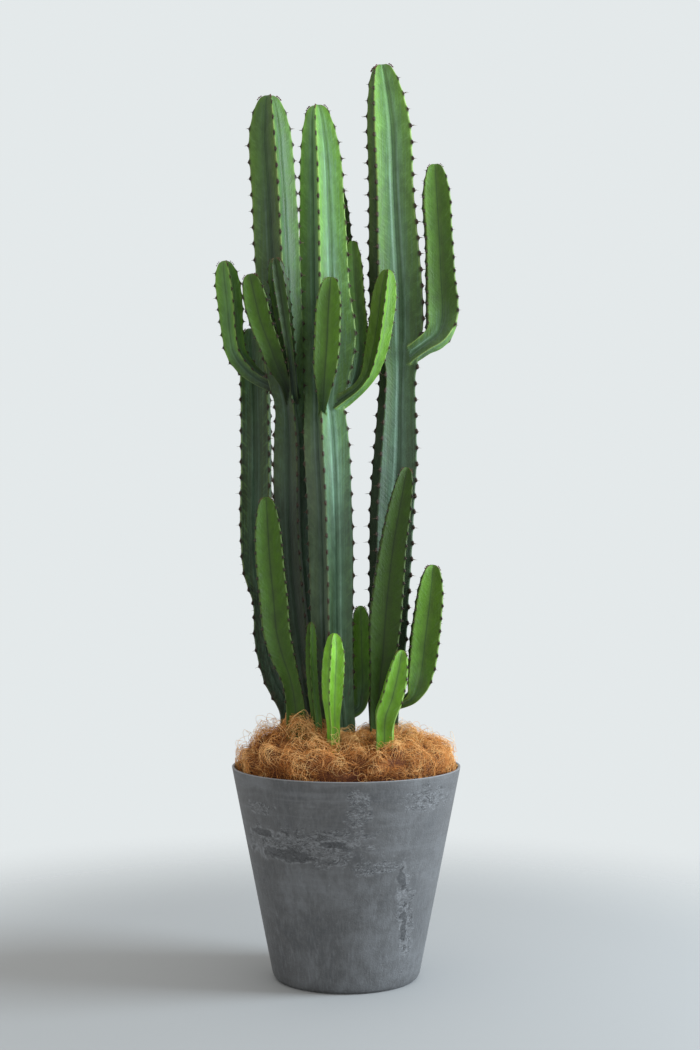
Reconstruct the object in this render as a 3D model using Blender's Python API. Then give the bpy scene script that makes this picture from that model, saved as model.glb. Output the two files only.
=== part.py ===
"""A tall potted euphorbia, 1.48 m high: four ribbed columns and five young shoots, which stand in coir
mulch and potting soil in a tapered grey pot. Metres, +Z up, origin at the centre of the pot's underside.
The plant is seen from the front along +Y."""
import math
from collections import namedtuple

import bmesh
import bpy
from mathutils import Vector

# Driving dimensions of the pot
POT_HEIGHT = 0.342
RIM_RADIUS = 0.185
BASE_RADIUS = 0.1195
WALL = 0.004
FLOOR_THICKNESS = 0.006
BASE_BEVEL = 0.009
FOOT_STEP = 0.003
FOOT_INSET = 0.006
LIP_ROUND = 0.0015
POT_SIDES = 48
FILL_SIDES = 24

# Fill of the pot
GAP = 0.0003
SOIL_TOP = 0.325
FOOT_BOTTOM = 0.300
HOLE_TOP = 0.500
COIR_EDGE = 0.008
COIR_RISE = 0.069
COIR_BELOW_STEM = 0.012
COIR_EDGE_POWER = 3.5
COIR_LUMP_POWER = 6
COIR_RIPPLE = 0.003
RIPPLE_ACROSS = 95
RIPPLE_DEEP = 88
COIR_RINGS = 7
COIR_SIDES = 36
HOLE_SIDES = 12

# Ribs, teeth and spines
VALLEY_DEPTH = 0.64
WOODY_VALLEY_DEPTH = 0.92
WOODY_LENGTH = 0.16
CROWN_SHARE = 0.22
DOME_POWER = 1.6
TOOTH_HEIGHT = 0.0022
FIRST_TOOTH = 0.4
LAST_TOOTH = 0.2
SPINE_FOOT = 0.0016
CROWN_RIB = 0.001
CROWN_POINT = 0.002
BARE_HEIGHT = 0.445
ARM_BARE = 0.070
ARM_BEND = 0.135

# How closely the surfaces are divided
ROUTE_STEP = 0.004
VALLEY_STEP = 0.045
ARM_STEP = 0.009
BASE_STEP = 0.03
LONGEST_BEND = 0.6
LOWEST_DOME = 0.3
DOME_STATIONS = (0.0, 0.4, 0.75, 1.0)

# A column or shoot: its name, the compass direction of each rib (0 faces the front, 90 faces +X),
# the spacing of its teeth, its spines' length, the length of its domed tip, and its route
# from the foot to the crown as rows of x, y, z and the radius over the ribs.
Stem = namedtuple("Stem", "name ribs tooth spine dome route")

LEFT_SHORT = Stem("stem_left_short", (-47, 43, 133, 223), 0.026, 0.007, 0.085, (
    (-0.089, 0.075, 0.413, 0.027), (-0.118, 0.080, 0.481, 0.028), (-0.132, 0.085, 0.539, 0.027),
    (-0.137, 0.090, 0.605, 0.0255), (-0.148, 0.090, 0.652, 0.0300), (-0.1505, 0.090, 0.705, 0.0328),
    (-0.1505, 0.090, 0.856, 0.0328), (-0.152, 0.090, 0.956, 0.0318), (-0.160, 0.090, 1.058, 0.0293)))

LEFT_TALL = Stem("stem_left_tall", (13, 100, 190, 280), 0.026, 0.007, 0.080, (
    (-0.050, 0.030, 0.408, 0.0245), (-0.059, 0.030, 0.477, 0.029), (-0.074, 0.032, 0.575, 0.030),
    (-0.085, 0.030, 0.690, 0.031), (-0.088, 0.022, 0.821, 0.0314), (-0.088, 0.014, 0.872, 0.0298),
    (-0.0915, -0.018, 0.932, 0.0195), (-0.0965, -0.029, 0.963, 0.0285), (-0.1025, -0.037, 1.027, 0.0348),
    (-0.108, -0.038, 1.124, 0.0361), (-0.1145, -0.040, 1.251, 0.0361), (-0.121, -0.040, 1.347, 0.0353),
    (-0.123, -0.040, 1.416, 0.0336)))

LEFT_TALL_BRANCHES = (
    Stem("left_arm", (18, 108, 198, 288), 0.020, 0.005, 0.040, (
        (-0.088, -0.017, 0.937, 0.012), (-0.118, -0.013, 0.956, 0.012), (-0.142, -0.010, 0.969, 0.013),
        (-0.160, -0.010, 0.984, 0.0155), (-0.177, -0.012, 1.008, 0.0168), (-0.183, -0.012, 1.039, 0.0182),
        (-0.187, -0.010, 1.086, 0.0208), (-0.196, -0.010, 1.157, 0.0205))),
    Stem("leaning_arm", (-48, 45, 135, 225), 0.020, 0.005, 0.048, (
        (-0.0889, -0.019, 0.930, 0.0138), (-0.0963, -0.054, 0.956, 0.0118), (-0.1097, -0.077, 0.987, 0.0191),
        (-0.1192, -0.091, 1.014, 0.0220), (-0.1327, -0.099, 1.050, 0.0234), (-0.1422, -0.106, 1.089, 0.0249),
        (-0.1499, -0.107, 1.123, 0.0249))),
    Stem("slim_arm", (-28, 40, 115, 190, 262), 0.020, 0.004, 0.035, (
        (-0.0840, -0.019, 0.930, 0.0119), (-0.0855, -0.060, 0.959, 0.0089), (-0.0880, -0.088, 0.996, 0.0093),
        (-0.0946, -0.101, 1.039, 0.0132), (-0.1003, -0.105, 1.077, 0.0151), (-0.1109, -0.109, 1.148, 0.0151))))

MIDDLE_TALL = Stem("stem_middle_tall", (-9, 80, 171, 262), 0.026, 0.007, 0.115, (
    (-0.012, -0.015, 0.407, 0.0275), (-0.018, -0.018, 0.466, 0.031), (-0.023, -0.020, 0.578, 0.034),
    (-0.024, -0.020, 0.665, 0.0365), (-0.027, -0.020, 0.772, 0.0365), (-0.031, -0.020, 0.852, 0.037),
    (-0.0355, -0.017, 0.935, 0.0275), (-0.033, -0.010, 0.978, 0.041), (-0.030, -0.004, 1.022, 0.0462),
    (-0.0355, 0.004, 1.112, 0.0418), (-0.0375, 0.010, 1.195, 0.0389), (-0.0395, 0.012, 1.260, 0.0364),
    (-0.0415, 0.014, 1.326, 0.0354), (-0.048, 0.015, 1.413, 0.0344)))

MIDDLE_TALL_BRANCHES = (
    Stem("front_arm", (-46, 46, 134, 226), 0.020, 0.004, 0.050, (
        (-0.039, -0.020, 0.907, 0.010), (-0.037, -0.060, 0.922, 0.008), (-0.035, -0.083, 0.943, 0.014),
        (-0.033, -0.092, 0.975, 0.024), (-0.030, -0.093, 1.015, 0.0275), (-0.028, -0.093, 1.062, 0.027),
        (-0.024, -0.092, 1.120, 0.026))),
    Stem("right_arm", (6, 92, 180, 268), 0.020, 0.004, 0.055, (
        (-0.021, -0.020, 0.911, 0.014), (0.002, -0.025, 0.932, 0.0105), (0.022, -0.030, 0.951, 0.0098),
        (0.0375, -0.035, 0.975, 0.0135), (0.045, -0.038, 1.000, 0.0172), (0.051, -0.040, 1.027, 0.019),
        (0.056, -0.040, 1.059, 0.0195), (0.060, -0.040, 1.091, 0.020), (0.066, -0.040, 1.139, 0.020))),
    Stem("back_arm", (-30, 60, 150, 240), 0.020, 0.005, 0.075, (
        (-0.025, -0.010, 0.914, 0.014), (-0.006, 0.036, 0.950, 0.014), (0.003, 0.064, 1.001, 0.018),
        (0.004, 0.074, 1.041, 0.020), (-0.001, 0.078, 1.120, 0.0215), (-0.009, 0.080, 1.199, 0.021),
        (-0.017, 0.080, 1.302, 0.020))),
    Stem("back_right_arm", (-45, 45, 135, 225), 0.020, 0.004, 0.050, (
        (-0.018, -0.010, 0.917, 0.013), (0.008, 0.010, 0.954, 0.013), (0.020, 0.016, 1.002, 0.018),
        (0.020, 0.019, 1.053, 0.0195), (0.015, 0.022, 1.102, 0.020), (0.0095, 0.024, 1.194, 0.0195))),
    Stem("base_shoot", (-45, 45, 135, 225), 0.020, 0.004, 0.030, (
        (-0.008, -0.014, 0.434, 0.012), (0.008, -0.006, 0.427, 0.011), (0.020, -0.001, 0.435, 0.0135),
        (0.0245, 0.001, 0.458, 0.0185), (0.025, 0.003, 0.527, 0.0200), (0.023, 0.003, 0.600, 0.018))))

RIGHT_TALL = Stem("stem_right_tall", (-42, 66, 165, 258), 0.026, 0.009, 0.122, (
    (0.062, 0.030, 0.405, 0.025), (0.063, 0.030, 0.461, 0.029), (0.0675, 0.030, 0.526, 0.0320),
    (0.0715, 0.030, 0.623, 0.0345), (0.076, 0.030, 0.759, 0.0375), (0.0815, 0.030, 0.852, 0.0365),
    (0.0835, 0.030, 0.932, 0.0325), (0.0845, 0.030, 0.971, 0.0310), (0.084, 0.030, 1.034, 0.0430),
    (0.083, 0.030, 1.096, 0.0455), (0.079, 0.030, 1.181, 0.0430), (0.075, 0.030, 1.263, 0.0392),
    (0.069, 0.030, 1.394, 0.0373), (0.058, 0.030, 1.482, 0.037)))

RIGHT_TALL_BRANCHES = (
    Stem("elbow_arm", (-46, 44, 134, 226), 0.022, 0.005, 0.065, (
        (0.095, 0.030, 0.994, 0.0125), (0.111, 0.023, 1.012, 0.0180), (0.129, 0.018, 1.025, 0.0195),
        (0.146, 0.020, 1.038, 0.0250), (0.155, 0.026, 1.060, 0.0335), (0.1565, 0.029, 1.088, 0.0352),
        (0.1545, 0.030, 1.124, 0.0330), (0.152, 0.030, 1.189, 0.0305), (0.1475, 0.030, 1.263, 0.0312),
        (0.1445, 0.030, 1.320, 0.0305))),
    Stem("hanging_shoot", (-46, 44, 134, 226), 0.020, 0.005, 0.065, (
        (0.068, 0.020, 0.440, 0.011), (0.091, -0.002, 0.444, 0.010), (0.107, -0.013, 0.455, 0.0135),
        (0.1155, -0.018, 0.475, 0.0235), (0.121, -0.020, 0.501, 0.029), (0.127, -0.020, 0.551, 0.0315),
        (0.132, -0.020, 0.591, 0.030), (0.140, -0.020, 0.667, 0.029))))

SHOOTS = (
    Stem("shoot_left", (-44, 48, 136, 226), 0.020, 0.004, 0.070, (
        (-0.081, -0.030, 0.425, 0.021), (-0.090, -0.034, 0.487, 0.0195), (-0.102, -0.035, 0.523, 0.026),
        (-0.111, -0.035, 0.559, 0.0295), (-0.116, -0.035, 0.611, 0.0305), (-0.1215, -0.035, 0.667, 0.030),
        (-0.128, -0.035, 0.776, 0.028))),
    Stem("shoot_front", (-16, 70, 160, 250), 0.018, 0.003, 0.047, (
        (-0.020, -0.080, 0.414, 0.011), (-0.021, -0.080, 0.433, 0.013), (-0.0215, -0.080, 0.456, 0.0165),
        (-0.021, -0.080, 0.488, 0.0185), (-0.0195, -0.080, 0.522, 0.0185), (-0.0185, -0.080, 0.561, 0.018))),
    Stem("shoot_slim", (-10, 80, 170, 260), 0.018, 0.003, 0.030, (
        (-0.047, -0.047, 0.417, 0.0085), (-0.051, -0.048, 0.452, 0.0085), (-0.055, -0.048, 0.500, 0.009),
        (-0.056, -0.048, 0.577, 0.008))),
    Stem("shoot_right_tall", (-44, 46, 136, 224), 0.020, 0.004, 0.080, (
        (0.051, -0.035, 0.430, 0.0185), (0.053, -0.040, 0.476, 0.021), (0.058, -0.042, 0.524, 0.029),
        (0.061, -0.042, 0.572, 0.0345), (0.067, -0.042, 0.636, 0.033), (0.076, -0.042, 0.708, 0.0285),
        (0.085, -0.042, 0.759, 0.026), (0.097, -0.042, 0.823, 0.024))),
    Stem("shoot_right_small", (-38, 42, 130, 220), 0.018, 0.003, 0.055, (
        (0.060, -0.085, 0.411, 0.020), (0.0615, -0.087, 0.432, 0.024), (0.0705, -0.087, 0.457, 0.0245),
        (0.0785, -0.087, 0.488, 0.0235), (0.084, -0.087, 0.515, 0.0225), (0.0875, -0.087, 0.535, 0.022))))

COLUMNS = ((LEFT_SHORT, ()), (LEFT_TALL, LEFT_TALL_BRANCHES), (MIDDLE_TALL, MIDDLE_TALL_BRANCHES),
           (RIGHT_TALL, RIGHT_TALL_BRANCHES))
ROOTED = tuple(column for column, branches in COLUMNS) + SHOOTS

# Lumps of the coir: centre x and y, radius, and rise above or below the mound
COIR_LUMPS = (
    (-0.105, -0.010, 0.055, 0.010), (-0.060, -0.105, 0.060, -0.008), (0.100, -0.020, 0.050, 0.002),
    (0.020, -0.125, 0.050, -0.010), (0.110, 0.080, 0.060, -0.012), (-0.080, 0.120, 0.060, -0.006),
    (0.024, 0.010, 0.024, -0.030), (0.026, 0.060, 0.034, -0.042), (0.028, 0.120, 0.040, -0.036),
    (0.150, -0.050, 0.040, -0.006), (-0.145, 0.030, 0.050, -0.010))


def make_material(name, colour, roughness):
    material = bpy.data.materials.new(name)
    material.use_nodes = True
    shader = material.node_tree.nodes["Principled BSDF"]
    shader.inputs["Base Color"].default_value = (*colour, 1.0)
    shader.inputs["Roughness"].default_value = roughness
    shader.inputs["Metallic"].default_value = 0.0
    material.diffuse_color = (*colour, 1.0)
    return material


def make_object(name, mesh_data, material):
    """Write a bmesh into a new object with one material and the soft edges shaded smooth."""
    bmesh.ops.recalc_face_normals(mesh_data, faces=mesh_data.faces)
    mesh = bpy.data.meshes.new(name)
    mesh_data.to_mesh(mesh)
    mesh_data.free()
    mesh.shade_smooth()
    mesh.set_sharp_from_angle(angle=math.radians(35))
    mesh.materials.append(material)
    made = bpy.data.objects.new(name, mesh)
    bpy.context.scene.collection.objects.link(made)
    return made


def apply_boolean(target, others, operation):
    """Join the other objects to the target, or cut them from it, then remove them."""
    tools = bpy.data.collections.new(target.name + "_tools")
    for other in others:
        tools.objects.link(other)
        other.hide_render = True
        other.display_type = "WIRE"
    modifier = target.modifiers.new(operation.lower(), "BOOLEAN")
    modifier.operand_type = "COLLECTION"
    modifier.collection = tools
    modifier.operation = operation
    modifier.solver = "EXACT"
    view = bpy.context.evaluated_depsgraph_get()
    result = bpy.data.meshes.new_from_object(target.evaluated_get(view))
    target.modifiers.clear()
    old_mesh = target.data
    target.data = result
    result.name = old_mesh.name + "_finished"
    for other in others:
        bpy.data.objects.remove(other)
    bpy.data.collections.remove(tools)


def slope(rows, index):
    """Slope of a row of values at one point, from its two neighbours and their distances."""
    here = rows[index]
    if index == 0 or index == len(rows) - 1:
        near = rows[1] if index == 0 else rows[-2]
        first, last = (here, near) if index == 0 else (near, here)
        return [(b - a) / (last[0] - first[0]) for a, b in zip(first, last)]
    before, after = rows[index - 1], rows[index + 1]
    low, high = here[0] - before[0], after[0] - here[0]
    return [((h - b) / low * high + (a - h) / high * low) / (low + high)
            for b, h, a in zip(before, here, after)]


def smooth_rows(rows, step):
    """Points of the smooth curve through the rows, whose first value is the distance along them."""
    curve = []
    for index in range(len(rows) - 1):
        start, end = rows[index], rows[index + 1]
        leave, reach = slope(rows, index), slope(rows, index + 1)
        span = end[0] - start[0]
        count = max(2, math.ceil(span / step))
        for part in range(count):
            t = part / count
            curve.append([
                (2 * t**3 - 3 * t**2 + 1) * a + (t**3 - 2 * t**2 + t) * span * u
                + (3 * t**2 - 2 * t**3) * b + (t**3 - t**2) * span * v
                for a, b, u, v in zip(start, end, leave, reach)])
    curve.append(list(rows[-1]))
    return curve


class Centreline:
    """A stem's smooth centre line, with its radius and a frame that doesn't twist."""

    def __init__(self, route):
        rows = [[0.0, *route[0]]]
        for row in route[1:]:
            rows.append([rows[-1][0] + math.dist(rows[-1][1:4], row[:3]), *row])
        curve = smooth_rows(rows, ROUTE_STEP)
        self.points = [Vector(row[1:4]) for row in curve]
        self.radii = [row[4] for row in curve]
        self.distances = [0.0]
        for before, after in zip(self.points, self.points[1:]):
            self.distances.append(self.distances[-1] + (after - before).length)
        self.length = self.distances[-1]
        self.ups = []
        for index in range(len(self.points)):
            low, high = max(index - 1, 0), min(index + 1, len(self.points) - 1)
            self.ups.append((self.points[high] - self.points[low]).normalized())
        front = Vector((0.0, -1.0, 0.0))
        self.fronts = []
        for up in reversed(self.ups):
            front = (front - front.dot(up) * up).normalized()
            self.fronts.insert(0, front)

    def at(self, distance):
        """Centre, radius, upward direction and front direction at a distance from the foot."""
        distance = min(max(distance, 0.0), self.length)
        index = 0
        while index < len(self.distances) - 2 and self.distances[index + 1] < distance:
            index += 1
        share = (distance - self.distances[index]) / (self.distances[index + 1] - self.distances[index])
        centre = self.points[index].lerp(self.points[index + 1], share)
        radius = self.radii[index] * (1 - share) + self.radii[index + 1] * share
        up = self.ups[index].lerp(self.ups[index + 1], share).normalized()
        front = self.fronts[index].lerp(self.fronts[index + 1], share)
        front = (front - front.dot(up) * up).normalized()
        return centre, radius, up, front


def dome_share(from_tip, dome):
    """How much of its full radius a stem has at a distance below its crown."""
    if from_tip >= dome:
        return 1.0
    return CROWN_SHARE + (1 - CROWN_SHARE) * math.sqrt(1 - (1 - from_tip / dome) ** DOME_POWER)


def base_stations(straight, end, step):
    """Distances along a stem's base: none on its straight foot, then even steps to the end."""
    count = max(1, math.ceil((end - straight) / step))
    stations = [straight + (end - straight) * index / count for index in range(count)]
    return [0.0] + stations if straight else stations


def crest_stations(stem, length, straight, bare, step, phase):
    """Distances along a rib, each with the height that its teeth and spines stand out there."""
    stations = [(distance, 0.0) for distance in base_stations(straight, bare, step)]
    centre = bare + (FIRST_TOOTH + phase) * stem.tooth
    while centre < length - LAST_TOOTH * stem.tooth:
        stations.append((centre - SPINE_FOOT, 0.0))
        stations.append((centre, TOOTH_HEIGHT + stem.spine))
        stations.append((centre + SPINE_FOOT, TOOTH_HEIGHT))
        centre += stem.tooth
    stations.append((length, CROWN_RIB))
    return stations


def valley_stations(stem, length, straight, bend, step):
    """Distances along a valley: close on the base and on the domed tip, and wide between."""
    bend = min(bend, length * LONGEST_BEND)
    stations = base_stations(straight, bend, step)
    low = max(length - stem.dome, bend + LOWEST_DOME * (length - bend))
    count = max(1, math.ceil((low - bend) / VALLEY_STEP))
    stations += [bend + (low - bend) * index / count for index in range(count)]
    stations += [low + (length - low) * share for share in DOME_STATIONS]
    return [(distance, 0.0) for distance in stations]


def add_strip(mesh_data, left, right):
    """Fill between two rows of vertices, each given with its distance along the stem."""
    i = j = 0
    while i < len(left) - 1 or j < len(right) - 1:
        if j == len(right) - 1 or (i < len(left) - 1 and left[i + 1][0] <= right[j + 1][0]):
            mesh_data.faces.new((left[i][1], left[i + 1][1], right[j][1]))
            i += 1
        else:
            mesh_data.faces.new((left[i][1], right[j + 1][1], right[j][1]))
            j += 1


def build_stem(stem, straight, bare, bend, step):
    """One closed ribbed column: a rib or a valley at each angle, joined by strips of triangles.
    Its base is bare of teeth, and above a straight foot its cross-sections are a step apart
    to the end of its bend."""
    line = Centreline(stem.route)
    mesh_data = bmesh.new()
    rows = []
    ribs = list(stem.ribs)
    for index, angle in enumerate(ribs):
        following = ribs[index + 1] if index + 1 < len(ribs) else ribs[0] + 360
        half_gap = math.radians(following - angle) / 2
        phase = 0.5 * (index % 2)
        crest = crest_stations(stem, line.length, straight, bare, step, phase)
        valley = valley_stations(stem, line.length, straight, bend, step)
        rows.append((math.radians(angle), None, crest))
        rows.append((math.radians(angle) + half_gap, math.cos(half_gap), valley))
    vertex_rows = []
    for angle, flat_share, stations in rows:
        vertices = []
        for distance, height in stations:
            centre, radius, up, front = line.at(distance)
            radius *= dome_share(line.length - distance, stem.dome)
            side = up.cross(front)
            if flat_share is not None:
                depth = VALLEY_DEPTH
                if straight:
                    age = max(0.0, 1 - distance / WOODY_LENGTH)
                    depth += (WOODY_VALLEY_DEPTH - VALLEY_DEPTH) * age
                radius *= flat_share * depth
            outward = front * math.cos(angle) + side * math.sin(angle)
            vertices.append((distance, mesh_data.verts.new(centre + outward * (radius + height))))
        vertex_rows.append(vertices)
    for index, vertices in enumerate(vertex_rows):
        add_strip(mesh_data, vertices, vertex_rows[(index + 1) % len(vertex_rows)])
    foot = mesh_data.verts.new(line.points[0])
    crown = mesh_data.verts.new(line.points[-1] + line.ups[-1] * CROWN_POINT)
    for index, vertices in enumerate(vertex_rows):
        following = vertex_rows[(index + 1) % len(vertex_rows)]
        mesh_data.faces.new((vertices[0][1], following[0][1], foot))
        mesh_data.faces.new((vertices[-1][1], following[-1][1], crown))
    return mesh_data


def rooted(stem):
    """The stem with a straight foot added below its route, which stands in the coir and the soil."""
    x, y, top, radius = stem.route[0]
    straight = ((x, y, FOOT_BOTTOM, radius), (x, y, top - COIR_BELOW_STEM, radius))
    return stem._replace(route=straight + stem.route)


def make_column(stem, branches, material):
    """A rooted column with its branches grown on: one solid."""
    straight = stem.route[0][2] - COIR_BELOW_STEM - FOOT_BOTTOM
    bare = BARE_HEIGHT - FOOT_BOTTOM
    column = make_object(stem.name, build_stem(rooted(stem), straight, bare, bare, BASE_STEP), material)
    if branches:
        arms = [make_object(arm.name, build_stem(arm, 0.0, ARM_BARE, ARM_BEND, ARM_STEP), material)
                for arm in branches]
        apply_boolean(column, arms, "UNION")
    return column


def add_turned(mesh_data, profile, sides):
    """Turn a closed profile of radius and height about the Z axis. Radius 0 gives a pole."""
    rings = []
    for radius, height in profile:
        if radius == 0:
            rings.append([mesh_data.verts.new((0, 0, height))])
            continue
        turns = [2 * math.pi * side / sides for side in range(sides)]
        rings.append([mesh_data.verts.new((radius * math.cos(turn), radius * math.sin(turn), height))
                      for turn in turns])
    for lower, upper in zip(rings, rings[1:]):
        for side in range(sides):
            after = (side + 1) % sides
            corners = [lower[side % len(lower)], lower[after % len(lower)],
                       upper[after % len(upper)], upper[side % len(upper)]]
            kept = [corner for index, corner in enumerate(corners) if corner not in corners[:index]]
            mesh_data.faces.new(kept)


def wall_radius(height):
    """Outer radius of the pot at a height."""
    return BASE_RADIUS + (RIM_RADIUS - BASE_RADIUS) * (height - BASE_BEVEL) / (POT_HEIGHT - BASE_BEVEL)


def make_pot(material):
    """Tapered pot: flat underside, recessed foot line, bevelled corner, straight wall and rounded lip."""
    foot_radius = BASE_RADIUS - FOOT_INSET
    inner_radius = RIM_RADIUS - WALL
    profile = (
        (0, 0), (foot_radius, 0), (foot_radius, FOOT_STEP), (BASE_RADIUS - FOOT_INSET / 2, FOOT_STEP),
        (BASE_RADIUS, BASE_BEVEL), (RIM_RADIUS, POT_HEIGHT - LIP_ROUND),
        (RIM_RADIUS - LIP_ROUND / 2, POT_HEIGHT), (inner_radius + LIP_ROUND / 2, POT_HEIGHT),
        (inner_radius, POT_HEIGHT - LIP_ROUND),
        (wall_radius(FLOOR_THICKNESS) - WALL, FLOOR_THICKNESS), (0, FLOOR_THICKNESS))
    mesh_data = bmesh.new()
    add_turned(mesh_data, profile, POT_SIDES)
    return make_object("pot", mesh_data, material)


def make_soil(material):
    """Potting soil that fills the pot to just under the coir."""
    bottom = FLOOR_THICKNESS + GAP
    facet = math.cos(math.pi / POT_SIDES)
    clearance = WALL + 2 * GAP
    profile = (
        (0, bottom), ((wall_radius(bottom) - clearance) * facet, bottom),
        ((wall_radius(SOIL_TOP) - clearance) * facet, SOIL_TOP), (0, SOIL_TOP))
    mesh_data = bmesh.new()
    add_turned(mesh_data, profile, FILL_SIDES)
    return make_object("potting_soil", mesh_data, material)


def coir_height(x, y):
    """Height of the top of the coir: a cushion with steep edges, lumps and a furrow at the back."""
    edge = wall_radius(SOIL_TOP) - WALL - 2 * GAP
    share = min(1.0, math.hypot(x, y) / edge)
    inland = 1 - share**COIR_LUMP_POWER
    height = SOIL_TOP + COIR_EDGE + COIR_RISE * (1 - share**COIR_EDGE_POWER) ** (1 / COIR_EDGE_POWER)
    for centre_x, centre_y, radius, rise in COIR_LUMPS:
        spread = ((x - centre_x) ** 2 + (y - centre_y) ** 2) / radius**2
        height += rise * math.exp(-spread) * inland
    height += COIR_RIPPLE * math.sin(RIPPLE_ACROSS * x + 1.3) * math.sin(RIPPLE_DEEP * y - 0.4) * inland
    for stem in ROOTED:
        foot_x, foot_y, foot_top, radius = stem.route[0]
        away = max(0.0, math.hypot(x - foot_x, y - foot_y) - radius - COIR_BELOW_STEM)
        height = min(height, foot_top - COIR_BELOW_STEM + away)
    return height


def make_coir(material):
    """Coir fibre mulch, heaped above the rim."""
    bottom = SOIL_TOP + GAP
    edge = (wall_radius(SOIL_TOP) - WALL - 2 * GAP) * math.cos(math.pi / COIR_SIDES)
    mesh_data = bmesh.new()
    turns = [2 * math.pi * side / COIR_SIDES for side in range(COIR_SIDES)]
    rings = []
    for ring in range(1, COIR_RINGS + 1):
        radius = edge * math.sin(0.5 * math.pi * ring / COIR_RINGS)
        corners = [(radius * math.cos(turn), radius * math.sin(turn)) for turn in turns]
        rings.append([mesh_data.verts.new((x, y, coir_height(x, y))) for x, y in corners])
    floor = [mesh_data.verts.new((edge * math.cos(turn), edge * math.sin(turn), bottom)) for turn in turns]
    rings.append(floor)
    middle = mesh_data.verts.new((0, 0, coir_height(0, 0)))
    under = mesh_data.verts.new((0, 0, bottom))
    for side in range(COIR_SIDES):
        after = (side + 1) % COIR_SIDES
        mesh_data.faces.new((middle, rings[0][side], rings[0][after]))
        mesh_data.faces.new((under, floor[after], floor[side]))
        for inner, outer in zip(rings, rings[1:]):
            mesh_data.faces.new((inner[side], outer[side], outer[after], inner[after]))
    return make_object("coir_mulch", mesh_data, material)


def cut_holes(fill, material):
    """Cut a plain round hole for the foot of each rooted stem."""
    cutters = []
    for stem in ROOTED:
        x, y, entry, radius = stem.route[0]
        hole = (radius + GAP) / math.cos(math.pi / HOLE_SIDES)
        bottom = FOOT_BOTTOM - GAP
        mesh_data = bmesh.new()
        add_turned(mesh_data, ((0, bottom), (hole, bottom), (hole, HOLE_TOP), (0, HOLE_TOP)), HOLE_SIDES)
        bmesh.ops.translate(mesh_data, vec=(x, y, 0), verts=mesh_data.verts)
        cutters.append(make_object(stem.name + "_hole", mesh_data, material))
    apply_boolean(fill, cutters, "DIFFERENCE")


def main():
    for old in list(bpy.data.objects):
        bpy.data.objects.remove(old)
    old_skin = make_material("old_skin", (0.09, 0.17, 0.11), 0.5)
    young_skin = make_material("young_skin", (0.12, 0.27, 0.06), 0.45)
    grey_pot = make_material("marbled_grey", (0.16, 0.17, 0.18), 0.7)
    coir = make_material("coir_fibre", (0.45, 0.20, 0.07), 0.95)
    soil = make_material("dark_soil", (0.05, 0.035, 0.025), 0.95)
    make_pot(grey_pot)
    cut_holes(make_soil(soil), soil)
    cut_holes(make_coir(coir), coir)
    for stem, branches in COLUMNS:
        make_column(stem, branches, old_skin)
    for stem in SHOOTS:
        make_column(stem, (), young_skin)


main()
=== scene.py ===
"""The finished look of a tall potted euphorbia: ribbed stems with teeth and spines, curly coir fibre
and a marbled grey pot. Metres, +Z up, origin at the centre of the pot's underside, front towards -Y."""
import math
from collections import namedtuple

import bmesh
import bpy
import numpy as np
from bpy.props import FloatProperty, FloatVectorProperty, IntProperty, PointerProperty
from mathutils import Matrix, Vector, kdtree, noise


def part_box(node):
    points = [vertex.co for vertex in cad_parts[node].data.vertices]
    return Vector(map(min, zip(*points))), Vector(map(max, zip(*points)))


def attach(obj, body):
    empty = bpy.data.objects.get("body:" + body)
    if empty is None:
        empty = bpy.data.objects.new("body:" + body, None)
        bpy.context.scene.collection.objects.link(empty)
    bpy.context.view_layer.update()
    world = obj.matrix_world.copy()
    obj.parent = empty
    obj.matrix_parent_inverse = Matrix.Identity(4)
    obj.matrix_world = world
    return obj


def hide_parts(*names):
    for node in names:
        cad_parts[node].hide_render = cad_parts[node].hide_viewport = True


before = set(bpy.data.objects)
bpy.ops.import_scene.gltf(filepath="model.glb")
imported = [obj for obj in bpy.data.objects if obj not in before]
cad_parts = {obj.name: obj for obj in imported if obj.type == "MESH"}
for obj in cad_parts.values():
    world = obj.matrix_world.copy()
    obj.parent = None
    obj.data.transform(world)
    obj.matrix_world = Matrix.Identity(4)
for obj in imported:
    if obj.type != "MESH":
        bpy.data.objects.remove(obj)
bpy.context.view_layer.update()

bl_info = {
    "name": "Potted euphorbia",
    "version": (1, 0, 0),
    "blender": (4, 5, 0),
    "location": "3D View > Sidebar > Euphorbia",
    "description": "Ribbed stems with teeth and spines, coir fibre mulch and a marbled grey pot",
    "category": "Mesh",
}

POT_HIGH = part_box("pot")[1]
COIR_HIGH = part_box("coir_mulch")[1]

# Keeps a division finite, and the distance within which two points are one
TINY = 1e-9
CLOSE = 1e-6

# The pot, as built
POT_HEIGHT = POT_HIGH.z
RIM_RADIUS = POT_HIGH.x
BASE_RADIUS = 0.1195
BASE_BEVEL = 0.009
FOOT_STEP = 0.003
FOOT_INSET = 0.006
WALL = 0.004
FLOOR_THICKNESS = 0.006

# The coir mound, as built
SOIL_TOP = 0.325
COIR_EDGE = 0.008
COIR_RISE = 0.069
COIR_BELOW_STEM = 0.012
COIR_EDGE_POWER = 3.5
COIR_LUMP_POWER = 6
COIR_LUMPS = (
    (-0.105, -0.010, 0.055, 0.010), (-0.060, -0.105, 0.060, -0.008), (0.100, -0.020, 0.050, 0.002),
    (0.020, -0.125, 0.050, -0.010), (0.110, 0.080, 0.060, -0.012), (-0.080, 0.120, 0.060, -0.006),
    (0.024, 0.010, 0.024, -0.030), (0.026, 0.060, 0.034, -0.042), (0.028, 0.120, 0.040, -0.036),
    (0.150, -0.050, 0.040, -0.006), (-0.145, 0.030, 0.050, -0.010))

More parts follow.
